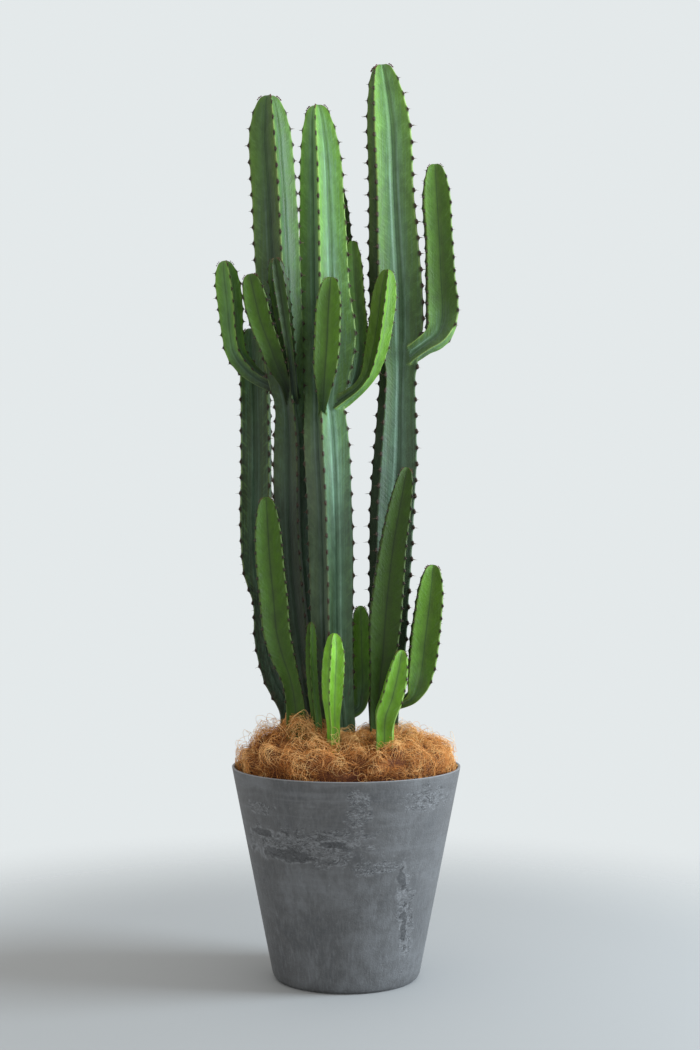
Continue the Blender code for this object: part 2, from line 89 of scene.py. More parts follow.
# The stems' section and teeth, as built. A valley's depth is a share of the radius, and the first and
# last teeth are shares of a tooth's spacing from the ends.
FOOT_BOTTOM = 0.300
VALLEY_DEPTH = 0.64
WOODY_VALLEY_DEPTH = 0.92
WOODY_LENGTH = 0.16
CROWN_SHARE = 0.22
CROWN_RISE = 0.10
DOME_POWER = 1.6
TOOTH_HEIGHT = 0.0022
FIRST_TOOTH = 0.4
LAST_TOOTH = 0.2
BARE_HEIGHT = 0.445
ARM_BARE = 0.070
ROUTE_STEP = 0.002

# Half of a rib's section, from its crest at 0 to the valley at 1, and how far the skin stands out
# from the straight line between them, as a share of the radius. A column has a fold near each valley.
FOLD_PLACE = 0.79
COLUMN_FLANK = ((0.0, -0.022), (0.03, 0.021), (0.09, 0.022), (0.25, -0.004), (0.50, -0.012), (0.71, 0.006),
                (FOLD_PLACE, 0.019), (0.86, -0.010), (1.0, -0.020))
ARM_FLANK = ((0.0, -0.030), (0.04, 0.026), (0.12, 0.022), (0.35, -0.008), (0.65, -0.010), (0.86, -0.004),
             (1.0, 0.012))
TOOTH_REACH = 0.30
TOOTH_SHARPNESS = 2.5

# The stems' unevenness: its wavelengths, how far the ribs sway and the girth swells, and its seeds
WANDER_WAVES = (0.31, 0.17, 0.083, 0.041)
SWAY = 0.012
SWELL = 0.008
SWELL_SEED = 50
SEED_STEP = 10
ARM_SEED = 100
SHOOT_SEED = 300

# A stem: its name, the compass direction of each rib (0 faces the front, 90 faces +X), the spacing
# of its teeth, its spines' length, the length of its domed tip, and its route from the foot to the
# crown as rows of x, y, z and the radius over the ribs.
Stem = namedtuple("Stem", "name ribs tooth spine dome route")

# How the branches join their stems
SEAM_REACH = 0.009
SEAM_PULL = 0.5
SEAM_TURNS = 20

# The compass direction of the lit side, and how far round from it the painted shade on the side away from the
# light begins and is full
LIT_SIDE = 85
SHADE_START = 0.35
SHADE_FULL = -0.55

# How far below the crown the painted shade on the side away from the light deepens, and how far below
# it the colour grows darker, partly as painted shade; and over what length
SHADE_DEEPENS_FROM = 0.30
SHADE_DEEPENS_OVER = 0.28
DARKEN_LOW_FROM = 0.08
DARKEN_LOW_OVER = 0.32

# The root of a branch is older and waxier than the rest of it, and darker with painted shade where it joins
# its stem
ROOT_LENGTH = 0.135
ROOT_STEEPNESS = 1.4
ROOT_AGE = 0.40
ROOT_WAX = 0.5

# The marks that a stem's skin has for its material
STEM_MARKS = ("across", "from_tip", "along", "tooth", "fresh", "tone", "waxy", "shady", "away")

# Shields and spines, as shares of their own lengths. The usual spine, the buds' distances from the
# crown and the step along a crest are lengths.
SHIELD_SEGMENTS = 6
SHIELD_RINGS = 4
SHIELD_TOP = 0.25
SHIELD_DEPTH = 0.55
SHIELD_WIDTH = 0.70
SHIELD_LEAN = 0.12
SHIELD_TAPER = 0.15
SPINE_SIDES = 3
SPINE_SPREAD = 0.62
SPINE_DROOP = -0.12
USUAL_SPINE = 0.007
BUD_PLACES = (0.0066, 0.0036, 0.0012)
BUD_SPINE = 0.35
BUD_SIZE = 0.62
SMALLEST_SHIELD = 0.35
SHIELD_SIZES = (0.85, 1.2)
SPINE_LENGTHS = (0.5, 1.2)
CREST_STEP = 0.002

# The coir's packed core and its tufts
COIR_CLEARANCE = 0.0006
CORE_DEPTH = 0.009
CORE_INSET = 0.016
CORE_SEGMENTS = 96
CORE_RINGS = 56
TUFT_SIZE = 0.030
TUFT_DEPTH = 0.019
TUFT_SINK = 0.38
CRUMB_SIZE = TUFT_SIZE / 5
CRUMB_DEPTH = TUFT_DEPTH / 3

# The loose fibres: their room at the wall and at the stems' feet, and the spans that their lengths,
# bends and depths are drawn from
FIBRE_CLEARANCE = 0.0012
FOOT_SHARE = 0.8
FOOT_RISE = 0.02
FIBRE_STEPS = 10
FIBRE_SIDES = 3
FIBRE_LENGTHS = (0.6, 1.3)
FIBRE_BENDS = (0.15, 1.0)
FIBRE_SWAYS = (0.5, 5.0)
STEADY_BEND = 0.4
DEPTH_SPREAD = 0.4
LEAST_SPREAD = 0.0008
FIBRE_TAPER = 0.5

# A fibre's shade from 0 (dark) to 1 (pale): its middle and spread, which are the fibres' own colours, and
# how much paler it is on tufts and higher up, which is painted shade in the pockets and depths of the mound
SHADE_MIDDLE = 0.50
SHADE_SPREAD = 0.19
SHADE_BY_TUFT = 0.80
SHADE_BY_HEIGHT = 22
DARKEST_SHADE = 0.02

# Where fibres alone are heaped higher: x, y, radius and rise
FIBRE_HEAPS = ((-0.076, -0.042, 0.042, 0.021), (-0.112, -0.015, 0.030, 0.008),
               (0.078, -0.030, 0.040, 0.004))

# The loose fibres' layers: name, share of the fibres, how far above the mound they lie, and how high
# they arch
FIBRE_LAYERS = (("coir_fibres_deep", 0.34, -0.0050, 0.003), ("coir_fibres_low", 0.27, -0.0025, 0.005),
                ("coir_fibres_middle", 0.22, -0.0005, 0.010), ("coir_fibres_top", 0.16, 0.0005, 0.022),
                ("coir_fibres_stray", 0.008, 0.0010, 0.040))

# The pot's lip, rings of faces and smoothing, and how far below its rim a painted highlight lies on the edge
LIP_ROUND = 0.0009
LIP_SEGMENTS = 3
WALL_RINGS = 24
BEVEL_ANGLE = math.radians(40)
SMOOTH_ANGLE = math.radians(35)
RIM_HIGHLIGHT_FROM = 0.0018
RIM_HIGHLIGHT_FULL = 0.0005

# The stage
FLOOR_SIDES = 96
FLOOR_RADIUS = 1.35
FLOOR_SOLID = 0.55
DAYLIGHT_TINT = (1.0, 1.0, 0.98, 1.0)
DAYLIGHT_FROM = (0.1, -0.4, 0.9)
DAYLIGHT_LEAN = 0.30
LAMP_PLACE = (2.95, -0.35, 1.75)
LAMP_AIM = (0.0, 0.0, 0.75)
LAMP_SIZE = (1.5, 2.2)
LAMP_TINT = (0.88, 1.0, 1.10)
CAMERA_PLACE = (0.0061, -2.9, 0.757)
CAMERA_DOWN = 0.0089
LENS = 61.4
SENSOR = 36.0

# How much younger the skin is at distances below the crown
YOUNGER_BELOW_CROWN = ((0.0, 0.52), (0.12, 0.40), (0.30, 0.30), (0.48, 0.24), (0.66, 0.0))

# How far the feathered streaks rise from a crest to a valley, and their width across
FEATHER_RISE = 0.026
FEATHER_WIDTH = 0.008

# Tints that are laid on the skin
SHADE_TINT = (0.60, 0.50, 0.60, 1.0)
FEATHER_TINT = (0.22, 0.43, 0.13, 1.0)
FOLD_TINT = (0.32, 0.52, 0.40, 1.0)
VALLEY_SHADE_TINT = (0.030, 0.070, 0.035, 1.0)
CREASE_TINT = (0.165, 0.300, 0.075, 1.0)
SHADED_SIDE_FILL_TINT = (0.150, 0.250, 0.110, 1.0)
WARM_TINT = (0.160, 0.350, 0.028, 1.0)
DASH_TINT = (0.30, 0.45, 0.13, 1.0)
HORN_TINT = (0.045, 0.030, 0.020, 1.0)
RUST_TINT = (0.13, 0.085, 0.040, 1.0)
CROWN_TINT = (0.13, 0.050, 0.026, 1.0)
BUD_TINT = (0.130, 0.042, 0.026, 1.0)
CORK_TINT = (0.15, 0.13, 0.095, 1.0)
SPECK_TINT = (0.36, 0.46, 0.30, 1.0)

# A spine's colours from its shield at 0 to its tip at 1, and the tint of its specks
SPINE_SHADES = ((0.0, (0.040, 0.022, 0.014)), (0.35, (0.10, 0.062, 0.035)), (0.7, (0.16, 0.115, 0.080)),
                (1.0, (0.030, 0.018, 0.012)))
SPINE_TINT = (0.20, 0.16, 0.12, 1.0)

SOIL_TINT = (0.022, 0.015, 0.010, 1.0)
CRUMB_TINT = (0.085, 0.055, 0.034, 1.0)

# The pot's worn places and dark places: the middle across and up, and the half width and half height
WORN_PLACES = (((-0.052, 0.238), (0.104, 0.026)), ((0.020, 0.300), (0.020, 0.034)),
               ((0.092, 0.125), (0.012, 0.075)), ((0.130, 0.306), (0.032, 0.020)),
               ((-0.135, 0.292), (0.018, 0.012)), ((0.045, 0.205), (0.030, 0.012)))
DARK_PLACES = (((-0.094, 0.223), (0.042, 0.010)), ((-0.017, 0.243), (0.028, 0.0045)),
               ((-0.128, 0.252), (0.020, 0.006)), ((0.087, 0.180), (0.007, 0.020)),
               ((0.090, 0.102), (0.006, 0.030)))

# Tints that are laid on the pot
FLAKE_TINT = (0.27, 0.28, 0.295, 1.0)
STREAK_TINT = (0.215, 0.225, 0.240, 1.0)
VEIN_TINT = (0.30, 0.31, 0.325, 1.0)
CRACK_TINT = (0.030, 0.032, 0.036, 1.0)

LEFT_SHORT = Stem("stem_left_short", (-47, 43, 133, 223), 0.026, 0.007, 0.085, (
    (-0.089, 0.075, 0.413, 0.027), (-0.118, 0.080, 0.481, 0.028), (-0.132, 0.085, 0.539, 0.027),
    (-0.137, 0.090, 0.605, 0.0255), (-0.148, 0.090, 0.652, 0.0300), (-0.1505, 0.090, 0.705, 0.0328),
    (-0.1505, 0.090, 0.856, 0.0328), (-0.152, 0.090, 0.956, 0.0318), (-0.160, 0.090, 1.058, 0.0293)))

LEFT_TALL = Stem("stem_left_tall", (13, 100, 190, 280), 0.026, 0.007, 0.080, (
    (-0.050, 0.030, 0.408, 0.0245), (-0.059, 0.030, 0.477, 0.029), (-0.074, 0.032, 0.575, 0.030),
    (-0.085, 0.030, 0.690, 0.031), (-0.088, 0.022, 0.821, 0.0314), (-0.088, 0.014, 0.872, 0.0298),
    (-0.0915, -0.018, 0.932, 0.0250), (-0.0965, -0.029, 0.963, 0.0285), (-0.1025, -0.037, 1.027, 0.0348),
    (-0.108, -0.038, 1.124, 0.0361), (-0.1145, -0.040, 1.251, 0.0361), (-0.121, -0.040, 1.347, 0.0353),
    (-0.123, -0.040, 1.416, 0.0336)))

LEFT_TALL_BRANCHES = (
    Stem("left_arm", (18, 108, 198, 288), 0.020, 0.005, 0.040, (
        (-0.088, -0.017, 0.937, 0.012), (-0.118, -0.013, 0.956, 0.012), (-0.142, -0.010, 0.969, 0.013),
        (-0.160, -0.010, 0.984, 0.0155), (-0.177, -0.012, 1.008, 0.0168), (-0.183, -0.012, 1.039, 0.0182),
        (-0.187, -0.010, 1.086, 0.0208), (-0.196, -0.010, 1.157, 0.0205))),
    Stem("leaning_arm", (-48, 45, 135, 225), 0.020, 0.005, 0.048, (
        (-0.0889, -0.019, 0.930, 0.0138), (-0.0963, -0.054, 0.956, 0.0118), (-0.1097, -0.077, 0.987, 0.0191),
        (-0.1192, -0.091, 1.014, 0.0220), (-0.1327, -0.099, 1.050, 0.0234), (-0.1422, -0.106, 1.089, 0.0249),
        (-0.1499, -0.107, 1.123, 0.0249))),
    Stem("slim_arm", (-28, 40, 115, 190, 262), 0.020, 0.004, 0.035, (
        (-0.0840, -0.019, 0.930, 0.0119), (-0.0855, -0.060, 0.959, 0.0089), (-0.0880, -0.088, 0.996, 0.0093),
        (-0.0946, -0.101, 1.039, 0.0132), (-0.1003, -0.105, 1.077, 0.0151),
        (-0.1109, -0.109, 1.148, 0.0151))))

MIDDLE_TALL = Stem("stem_middle_tall", (-9, 80, 171, 262), 0.026, 0.007, 0.115, (
    (-0.012, -0.015, 0.407, 0.0275), (-0.018, -0.018, 0.466, 0.031), (-0.023, -0.020, 0.578, 0.034),
    (-0.024, -0.020, 0.665, 0.0365), (-0.027, -0.020, 0.772, 0.0365), (-0.031, -0.020, 0.852, 0.037),
    (-0.034, -0.019, 0.900, 0.0345), (-0.035, -0.018, 0.918, 0.033), (-0.0355, -0.017, 0.934, 0.0325),
    (-0.0345, -0.015, 0.950, 0.035), (-0.033, -0.010, 0.978, 0.041), (-0.030, -0.004, 1.022, 0.0462),
    (-0.0355, 0.004, 1.112, 0.0418), (-0.0375, 0.010, 1.195, 0.0389), (-0.0395, 0.012, 1.260, 0.0364),
    (-0.0415, 0.014, 1.326, 0.0354), (-0.048, 0.015, 1.413, 0.0344)))

MIDDLE_TALL_BRANCHES = (
    Stem("front_arm", (-46, 46, 134, 226), 0.020, 0.004, 0.050, (
        (-0.039, -0.020, 0.907, 0.010), (-0.037, -0.060, 0.922, 0.008), (-0.035, -0.083, 0.943, 0.014),
        (-0.033, -0.092, 0.975, 0.024), (-0.030, -0.093, 1.015, 0.0275), (-0.028, -0.093, 1.062, 0.027),
        (-0.024, -0.092, 1.120, 0.026))),
    Stem("right_arm", (6, 92, 180, 268), 0.020, 0.004, 0.055, (
        (-0.021, -0.020, 0.920, 0.015), (0.002, -0.024, 0.936, 0.0125), (0.022, -0.030, 0.952, 0.0108),
        (0.0375, -0.035, 0.975, 0.0135), (0.045, -0.038, 1.000, 0.0172), (0.051, -0.040, 1.027, 0.019),
        (0.056, -0.040, 1.059, 0.0195), (0.060, -0.040, 1.091, 0.020), (0.066, -0.040, 1.139, 0.020))),
    Stem("back_arm", (-30, 60, 150, 240), 0.020, 0.005, 0.075, (
        (-0.025, -0.010, 0.914, 0.014), (-0.006, 0.036, 0.950, 0.014), (0.003, 0.064, 1.001, 0.018),
        (0.004, 0.074, 1.041, 0.020), (-0.001, 0.078, 1.120, 0.0215), (-0.009, 0.080, 1.199, 0.021),
        (-0.017, 0.080, 1.302, 0.020))),
    Stem("back_right_arm", (-45, 45, 135, 225), 0.020, 0.004, 0.050, (
        (-0.018, -0.010, 0.917, 0.013), (0.008, 0.010, 0.954, 0.013), (0.020, 0.016, 1.002, 0.018),
        (0.020, 0.019, 1.053, 0.0195), (0.015, 0.022, 1.102, 0.020), (0.0095, 0.024, 1.194, 0.0195))),
    Stem("base_shoot", (-45, 45, 135, 225), 0.020, 0.004, 0.030, (
        (-0.008, -0.014, 0.434, 0.012), (0.008, -0.006, 0.427, 0.011), (0.020, -0.001, 0.435, 0.0135),
        (0.0245, 0.001, 0.458, 0.0185), (0.025, 0.003, 0.527, 0.0200), (0.023, 0.003, 0.600, 0.018))))

RIGHT_TALL = Stem("stem_right_tall", (-42, 66, 165, 258), 0.026, 0.009, 0.122, (
    (0.062, 0.030, 0.405, 0.025), (0.063, 0.030, 0.461, 0.029), (0.0675, 0.030, 0.526, 0.0320),
    (0.0715, 0.030, 0.623, 0.0345), (0.076, 0.030, 0.759, 0.0375), (0.0815, 0.030, 0.852, 0.0365),
    (0.0835, 0.030, 0.932, 0.0325), (0.0845, 0.030, 0.971, 0.0310), (0.084, 0.030, 1.034, 0.0430),
    (0.083, 0.030, 1.096, 0.0455), (0.079, 0.030, 1.181, 0.0430), (0.075, 0.030, 1.263, 0.0392),
    (0.069, 0.030, 1.394, 0.0373), (0.058, 0.030, 1.482, 0.037)))

RIGHT_TALL_BRANCHES = (
    Stem("elbow_arm", (-46, 44, 134, 226), 0.022, 0.005, 0.065, (
        (0.095, 0.030, 0.994, 0.0125), (0.111, 0.023, 1.012, 0.0180), (0.129, 0.018, 1.025, 0.0195),
        (0.146, 0.020, 1.038, 0.0250), (0.155, 0.026, 1.060, 0.0335), (0.1565, 0.029, 1.088, 0.0352),
        (0.1545, 0.030, 1.124, 0.0330), (0.152, 0.030, 1.189, 0.0305), (0.1475, 0.030, 1.263, 0.0312),
        (0.1445, 0.030, 1.320, 0.0305))),
    Stem("hanging_shoot", (-46, 44, 134, 226), 0.020, 0.005, 0.065, (
        (0.068, 0.020, 0.440, 0.011), (0.091, -0.002, 0.444, 0.010), (0.107, -0.013, 0.455, 0.0135),
        (0.1155, -0.018, 0.475, 0.0235), (0.121, -0.020, 0.501, 0.029), (0.127, -0.020, 0.551, 0.0315),
        (0.132, -0.020, 0.591, 0.030), (0.140, -0.020, 0.667, 0.029))))

SHOOTS = (
    Stem("shoot_left", (-44, 48, 136, 226), 0.020, 0.004, 0.070, (
        (-0.081, -0.030, 0.425, 0.021), (-0.090, -0.034, 0.487, 0.0195), (-0.102, -0.035, 0.523, 0.026),
        (-0.111, -0.035, 0.559, 0.0295), (-0.116, -0.035, 0.611, 0.0305), (-0.1215, -0.035, 0.667, 0.030),
        (-0.128, -0.035, 0.776, 0.028))),
    Stem("shoot_front", (-16, 70, 160, 250), 0.018, 0.003, 0.047, (
        (-0.020, -0.080, 0.414, 0.011), (-0.021, -0.080, 0.433, 0.013), (-0.0215, -0.080, 0.456, 0.0165),
        (-0.021, -0.080, 0.488, 0.0185), (-0.0195, -0.080, 0.522, 0.0185), (-0.0185, -0.080, 0.561, 0.018))),
    Stem("shoot_slim", (-10, 80, 170, 260), 0.018, 0.003, 0.030, (
        (-0.047, -0.047, 0.417, 0.0085), (-0.051, -0.048, 0.452, 0.0085), (-0.055, -0.048, 0.500, 0.009),
        (-0.056, -0.048, 0.577, 0.008))),
    Stem("shoot_right_tall", (-44, 46, 136, 224), 0.020, 0.004, 0.080, (
        (0.051, -0.035, 0.430, 0.0185), (0.053, -0.040, 0.476, 0.021), (0.058, -0.042, 0.524, 0.029),
        (0.061, -0.042, 0.572, 0.0345), (0.067, -0.042, 0.636, 0.033), (0.076, -0.042, 0.708, 0.0285),
        (0.085, -0.042, 0.759, 0.026), (0.097, -0.042, 0.823, 0.024))),
    Stem("shoot_right_small", (-38, 42, 130, 220), 0.018, 0.003, 0.055, (
        (0.060, -0.085, 0.411, 0.020), (0.0615, -0.087, 0.432, 0.024), (0.0705, -0.087, 0.457, 0.0245),
        (0.0785, -0.087, 0.488, 0.0235), (0.084, -0.087, 0.515, 0.0225), (0.0875, -0.087, 0.535, 0.022))))

# The columns and the branches that grew from them
BRANCHED = ((LEFT_SHORT, ()), (LEFT_TALL, LEFT_TALL_BRANCHES), (MIDDLE_TALL, MIDDLE_TALL_BRANCHES),
            (RIGHT_TALL, RIGHT_TALL_BRANCHES))


def grown_from(stem, branches, flank, seed):
    """A standing stem and its branches, each with its section and the seed of its unevenness."""
    arms = [(arm, ARM_FLANK, ARM_SEED + SEED_STEP * place) for place, arm in enumerate(branches)]
    return [(stem, flank, seed), *arms]


COLUMNS = [grown_from(stem, branches, COLUMN_FLANK, SEED_STEP * number)
           for number, (stem, branches) in enumerate(BRANCHED)]
LONE_SHOOTS = [grown_from(stem, (), ARM_FLANK, SHOOT_SEED + SEED_STEP * number)
               for number, stem in enumerate(SHOOTS)]
STANDING = [parts[0][0] for parts in COLUMNS + LONE_SHOOTS]

# Each stem's skin: how fresh it is (0 is old and grey-green, 1 is new and yellow-green), how pale, which
# is partly painted shade for a stem that stands in the others' shade, how much waxy bloom lies in its
# folds, how much painted shade darkens and how much painted light lightens the sides away from the light,
# how much painted shade darkens its root where it joins (a negative value paints it paler), and how much
# darker it grows towards the foot, partly as painted shade
Skin = namedtuple("Skin", "fresh tone waxy shady lift root_shade fade")
SKIN = {
    "stem_left_short": (-0.24, 0.80, 0.4, 0.6, 0.0, 0.0, 0.05),
    "stem_left_tall": (0.04, 0.80, 0.45, 1.0, 0.42, 0.0, 0.24),
    "left_arm": (0.14, 1.04, 0.4, 0.0, 0.0, 0.70, 0.0),
    "leaning_arm": (0.52, 0.43, 0.2, 0.3, 0.0, 0.72, 0.60),
    "slim_arm": (0.08, 0.21, 0.6, 0.0, 0.9, 0.30, 0.0),
    "stem_middle_tall": (0.08, 1.32, 0.9, 0.0, 0.20, 0.0, 0.18),
    "front_arm": (0.54, 0.44, 0.2, 0.0, 0.50, 0.40, 0.0),
    "right_arm": (0.48, 0.98, 0.1, 1.2, 0.0, -0.30, 0.0),
    "back_arm": (0.12, 0.28, 0.2, 0.4, 0.0, 0.30, 0.0),
    "back_right_arm": (0.14, 1.05, 0.4, 1.2, 0.0, 0.30, 0.0),
    "base_shoot": (0.38, 0.75, 0.2, 0.2, 0.0, 0.10, 0.0),
    "stem_right_tall": (0.08, 1.26, 1.0, 1.0, 0.0, 0.0, 0.46),
    "elbow_arm": (0.32, 0.76, 0.5, 0.8, 0.0, -2.40, 0.68),
    "hanging_shoot": (0.47, 0.72, 0.2, 0.8, 0.0, -1.20, 0.0),
    "shoot_left": (0.54, 0.36, 0.3, 0.2, 0.10, 0.0, 0.15),
    "shoot_front": (0.64, 1.30, 0.3, 0.0, 0.0, 0.0, 0.0),
    "shoot_slim": (0.40, 0.42, 0.1, 0.2, 0.0, 0.0, 0.0),
    "shoot_right_tall": (0.62, 0.245, 0.1, 0.2, 0.0, 0.0, 0.15),
    "shoot_right_small": (0.64, 1.00, 0.1, 0.0, 0.0, 0.0, 0.0)}


def slope(rows, index):
    """Slope of a row of values at one point, from its two neighbours and their distances."""
    here = rows[index]
    if index == 0 or index == len(rows) - 1:
        near = rows[1] if index == 0 else rows[-2]
        first, last = (here, near) if index == 0 else (near, here)
        return [(b - a) / (last[0] - first[0]) for a, b in zip(first, last)]
    before, after = rows[index - 1], rows[index + 1]
    low, high = here[0] - before[0], after[0] - here[0]
    return [((h - b) / low * high + (a - h) / high * low) / (low + high)
            for b, h, a in zip(before, here, after)]


def smooth_rows(rows, step):
    """Points of the smooth curve through the rows, whose first value is the distance along them."""
    curve = []
    for index in range(len(rows) - 1):
        start, end = rows[index], rows[index + 1]
        leave, reach = slope(rows, index), slope(rows, index + 1)
        width = end[0] - start[0]
        count = max(2, math.ceil(width / step))
        for part in range(count):
            t = part / count
            curve.append([
                (2 * t**3 - 3 * t**2 + 1) * a + (t**3 - 2 * t**2 + t) * width * u
                + (3 * t**2 - 2 * t**3) * b + (t**3 - t**2) * width * v
                for a, b, u, v in zip(start, end, leave, reach)])
    curve.append(list(rows[-1]))
    return curve


def unit(vectors):
    """Vectors of length 1 in the given directions."""
    return vectors / np.linalg.norm(vectors, axis=-1, keepdims=True)


class Centreline:
    """A stem's smooth centre line, with its radius and a frame that doesn't twist."""

    def __init__(self, route):
        rows = [[0.0, *route[0]]]
        for row in route[1:]:
            rows.append([rows[-1][0] + math.dist(rows[-1][1:4], row[:3]), *row])
        curve = np.array(smooth_rows(rows, ROUTE_STEP))
        self.points = curve[:, 1:4]
        self.radii = curve[:, 4]
        steps = np.linalg.norm(np.diff(self.points, axis=0), axis=1)
        self.distances = np.concatenate(([0.0], np.cumsum(steps)))
        self.length = self.distances[-1]
        self.ups = unit(np.gradient(self.points, axis=0))
        self.fronts = np.empty_like(self.ups)
        front = np.array((0.0, -1.0, 0.0))
        for index in range(len(self.ups) - 1, -1, -1):
            up = self.ups[index]
            front = unit(front - front.dot(up) * up)
            self.fronts[index] = front

    def between(self, values, distances):
        """Values along the line, read at other distances."""
        columns = [np.interp(distances, self.distances, column) for column in np.atleast_2d(values.T)]
        return np.stack(columns, axis=-1)

    def at(self, distances):
        """Centres, radii, and the upward, front and side directions at distances from the foot."""
        ups = unit(self.between(self.ups, distances))
        fronts = self.between(self.fronts, distances)
        fronts = unit(fronts - (fronts * ups).sum(axis=1, keepdims=True) * ups)
        radii = np.interp(distances, self.distances, self.radii)
        return self.between(self.points, distances), radii, ups, fronts, np.cross(ups, fronts)


def rooted(stem):
    """The stem with a straight foot in the coir and the soil if it stands there, and its bare length."""
    if stem not in STANDING:
        return stem, ARM_BARE
    x, y, top, radius = stem.route[0]
    straight = ((x, y, FOOT_BOTTOM, radius), (x, y, top - COIR_BELOW_STEM, radius))
    return stem._replace(route=straight + stem.route), BARE_HEIGHT - FOOT_BOTTOM


def dome_share(from_tip, dome):
    """How much of its full radius a stem has at distances below its crown."""
    inside = np.clip(1 - from_tip / dome, 0.0, 1.0)
    return CROWN_SHARE + (1 - CROWN_SHARE) * np.sqrt(1 - inside**DOME_POWER)


def compass(degrees):
    """A direction across a stem: its part towards the front and its part towards the side."""
    return np.array((math.cos(math.radians(degrees)), math.sin(math.radians(degrees))))


def unit_section(ribs, flank):
    """Cross-section for ribs of radius 1, anticlockwise: what scales with the ribs, what also scales
    with the valleys' depth, the share across from crest to valley, the rib, the crest's direction, and
    the direction that the skin faces."""
    fixed, deep, across, owner, outward, facing = [], [], [], [], [], []
    for index, angle in enumerate(ribs):
        following = (index + 1) % len(ribs)
        half = ((ribs[following] - angle) % 360) / 2
        valley = compass(angle + half) * math.cos(math.radians(half))
        for rib, crest, steps in ((index, compass(angle), flank),
                                  (following, compass(ribs[following]), flank[-2:0:-1])):
            chord = valley * VALLEY_DEPTH - crest
            normal = np.array((-chord[1], chord[0])) / np.linalg.norm(chord)
            if normal.dot(valley) < 0:
                normal = -normal
            for share, lift in steps:
                fixed.append(crest * (1 - share) + (normal if share else crest) * lift)
                deep.append(valley * share)
                across.append(share)
                owner.append(rib)
                outward.append(crest)
                facing.append(normal if share else crest)
    return [np.array(column) for column in (fixed, deep, across, owner, outward, facing)]


def tooth_places(stem, rib, bare, length):
    """Distances of the teeth along a rib. Neighbouring ribs have them half a spacing apart."""
    first = bare + (FIRST_TOOTH + 0.5 * (rib % 2)) * stem.tooth
    return np.arange(first, length - LAST_TOOTH * stem.tooth, stem.tooth)


def tooth_share(stem, rib, bare, length, along):
    """How close each distance along a rib is to a tooth: 1 on a tooth and 0 between two."""
    places = tooth_places(stem, rib, bare, length)
    turn = (along - places[0]) / stem.tooth
    wave = (0.5 + 0.5 * np.cos(2 * math.pi * turn)) ** TOOTH_SHARPNESS
    near = (along > places[0] - stem.tooth / 2) & (along < places[-1] + stem.tooth / 2)
    return wave * near


def wander(along, seed, size):
    """A smooth, slow unevenness along a stem."""
    draw = np.random.default_rng(seed)
    total = np.zeros_like(along)
    for wavelength in WANDER_WAVES:
        total += wavelength * np.sin(2 * math.pi * (along / wavelength + draw.random()))
    return size * total / WANDER_WAVES[0]


def ribbed_surface(stem, step, flank, seed):
    """Points and marks of a ribbed stem, a ring of points for each distance along it, and its two ends."""
    route, bare = rooted(stem)
    line = Centreline(route.route)
    along = np.linspace(0.0, line.length, math.ceil(line.length / step) + 1)
    centres, radii, ups, fronts, sides = line.at(along)
    radii = radii * dome_share(line.length - along, stem.dome)
    depth = np.full_like(along, VALLEY_DEPTH)
    if stem in STANDING:
        depth += (WOODY_VALLEY_DEPTH - VALLEY_DEPTH) * np.clip(1 - along / WOODY_LENGTH, 0.0, 1.0)
    fixed, deep, across, owner, outward, facing = unit_section(stem.ribs, flank)
    ribs = range(len(stem.ribs))
    teeth = np.stack([tooth_share(stem, rib, bare, line.length, along) for rib in ribs], axis=1)
    sway = np.stack([wander(along, seed + rib, SWAY) for rib in ribs], axis=1)
    swell = 1 + wander(along, seed + SWELL_SEED, SWELL)
    flat = fixed[None] + depth[:, None, None] * deep[None]
    sideways = np.stack((-outward[:, 1], outward[:, 0]), axis=1)
    flat = flat + (sway[:, owner] * (1 - across) ** 2)[..., None] * sideways[None]
    flat = flat * (radii * swell)[:, None, None]
    raised = TOOTH_HEIGHT * teeth[:, owner] * np.clip(1 - across / TOOTH_REACH, 0.0, 1.0) ** 2
    flat = flat + raised[..., None] * outward[None]
    points = centres[:, None] + flat[..., :1] * fronts[:, None] + flat[..., 1:] * sides[:, None]
    marks = skin_marks(stem, along[:, None], line.length - along[:, None], across[None], facing)
    marks["tooth"] = teeth[:, owner]
    crown = centres[-1] + ups[-1] * radii[-1] * CROWN_RISE
    return points, marks, centres[0], crown


def skin_marks(stem, along, below, across, facing):
    """The marks that a stem's material reads, at distances along it and below its crown."""
    skin = Skin(*SKIN[stem.name])
    # Near a branch's root: older, waxier, and darker with painted shade (paler where root_shade is negative)
    root = np.clip((1 - along / ROOT_LENGTH) * ROOT_STEEPNESS, 0.0, 1.0) * (stem not in STANDING)
    # The side turned away from the light: painted shade darkens it (shady) and painted light lightens it
    # (lift)
    away = np.clip((SHADE_START - facing @ compass(LIT_SIDE)) / (SHADE_START - SHADE_FULL), 0.0, 1.0)[None]
    # Painted shade on the side away from the light deepens further down the stem
    shady = skin.shady + (1 - skin.shady) * np.clip((below - SHADE_DEEPENS_FROM) / SHADE_DEEPENS_OVER, 0.0, 1.0)
    # Darker towards the foot, partly painted shade lower down among the stems
    darkened_low = 1 - skin.fade * np.clip((below - DARKEN_LOW_FROM) / DARKEN_LOW_OVER, 0.0, 1.0)
    marks = {"across": across, "from_tip": below, "along": along, "away": away, "shady": shady * away,
             "fresh": skin.fresh - ROOT_AGE * root, "waxy": skin.waxy + ROOT_WAX * root,
             "tone": skin.tone * darkened_low * (1 - skin.root_shade * root) * (1 + skin.lift * away)}
    return {mark: np.broadcast_to(values, (len(along), across.size)) for mark, values in marks.items()}


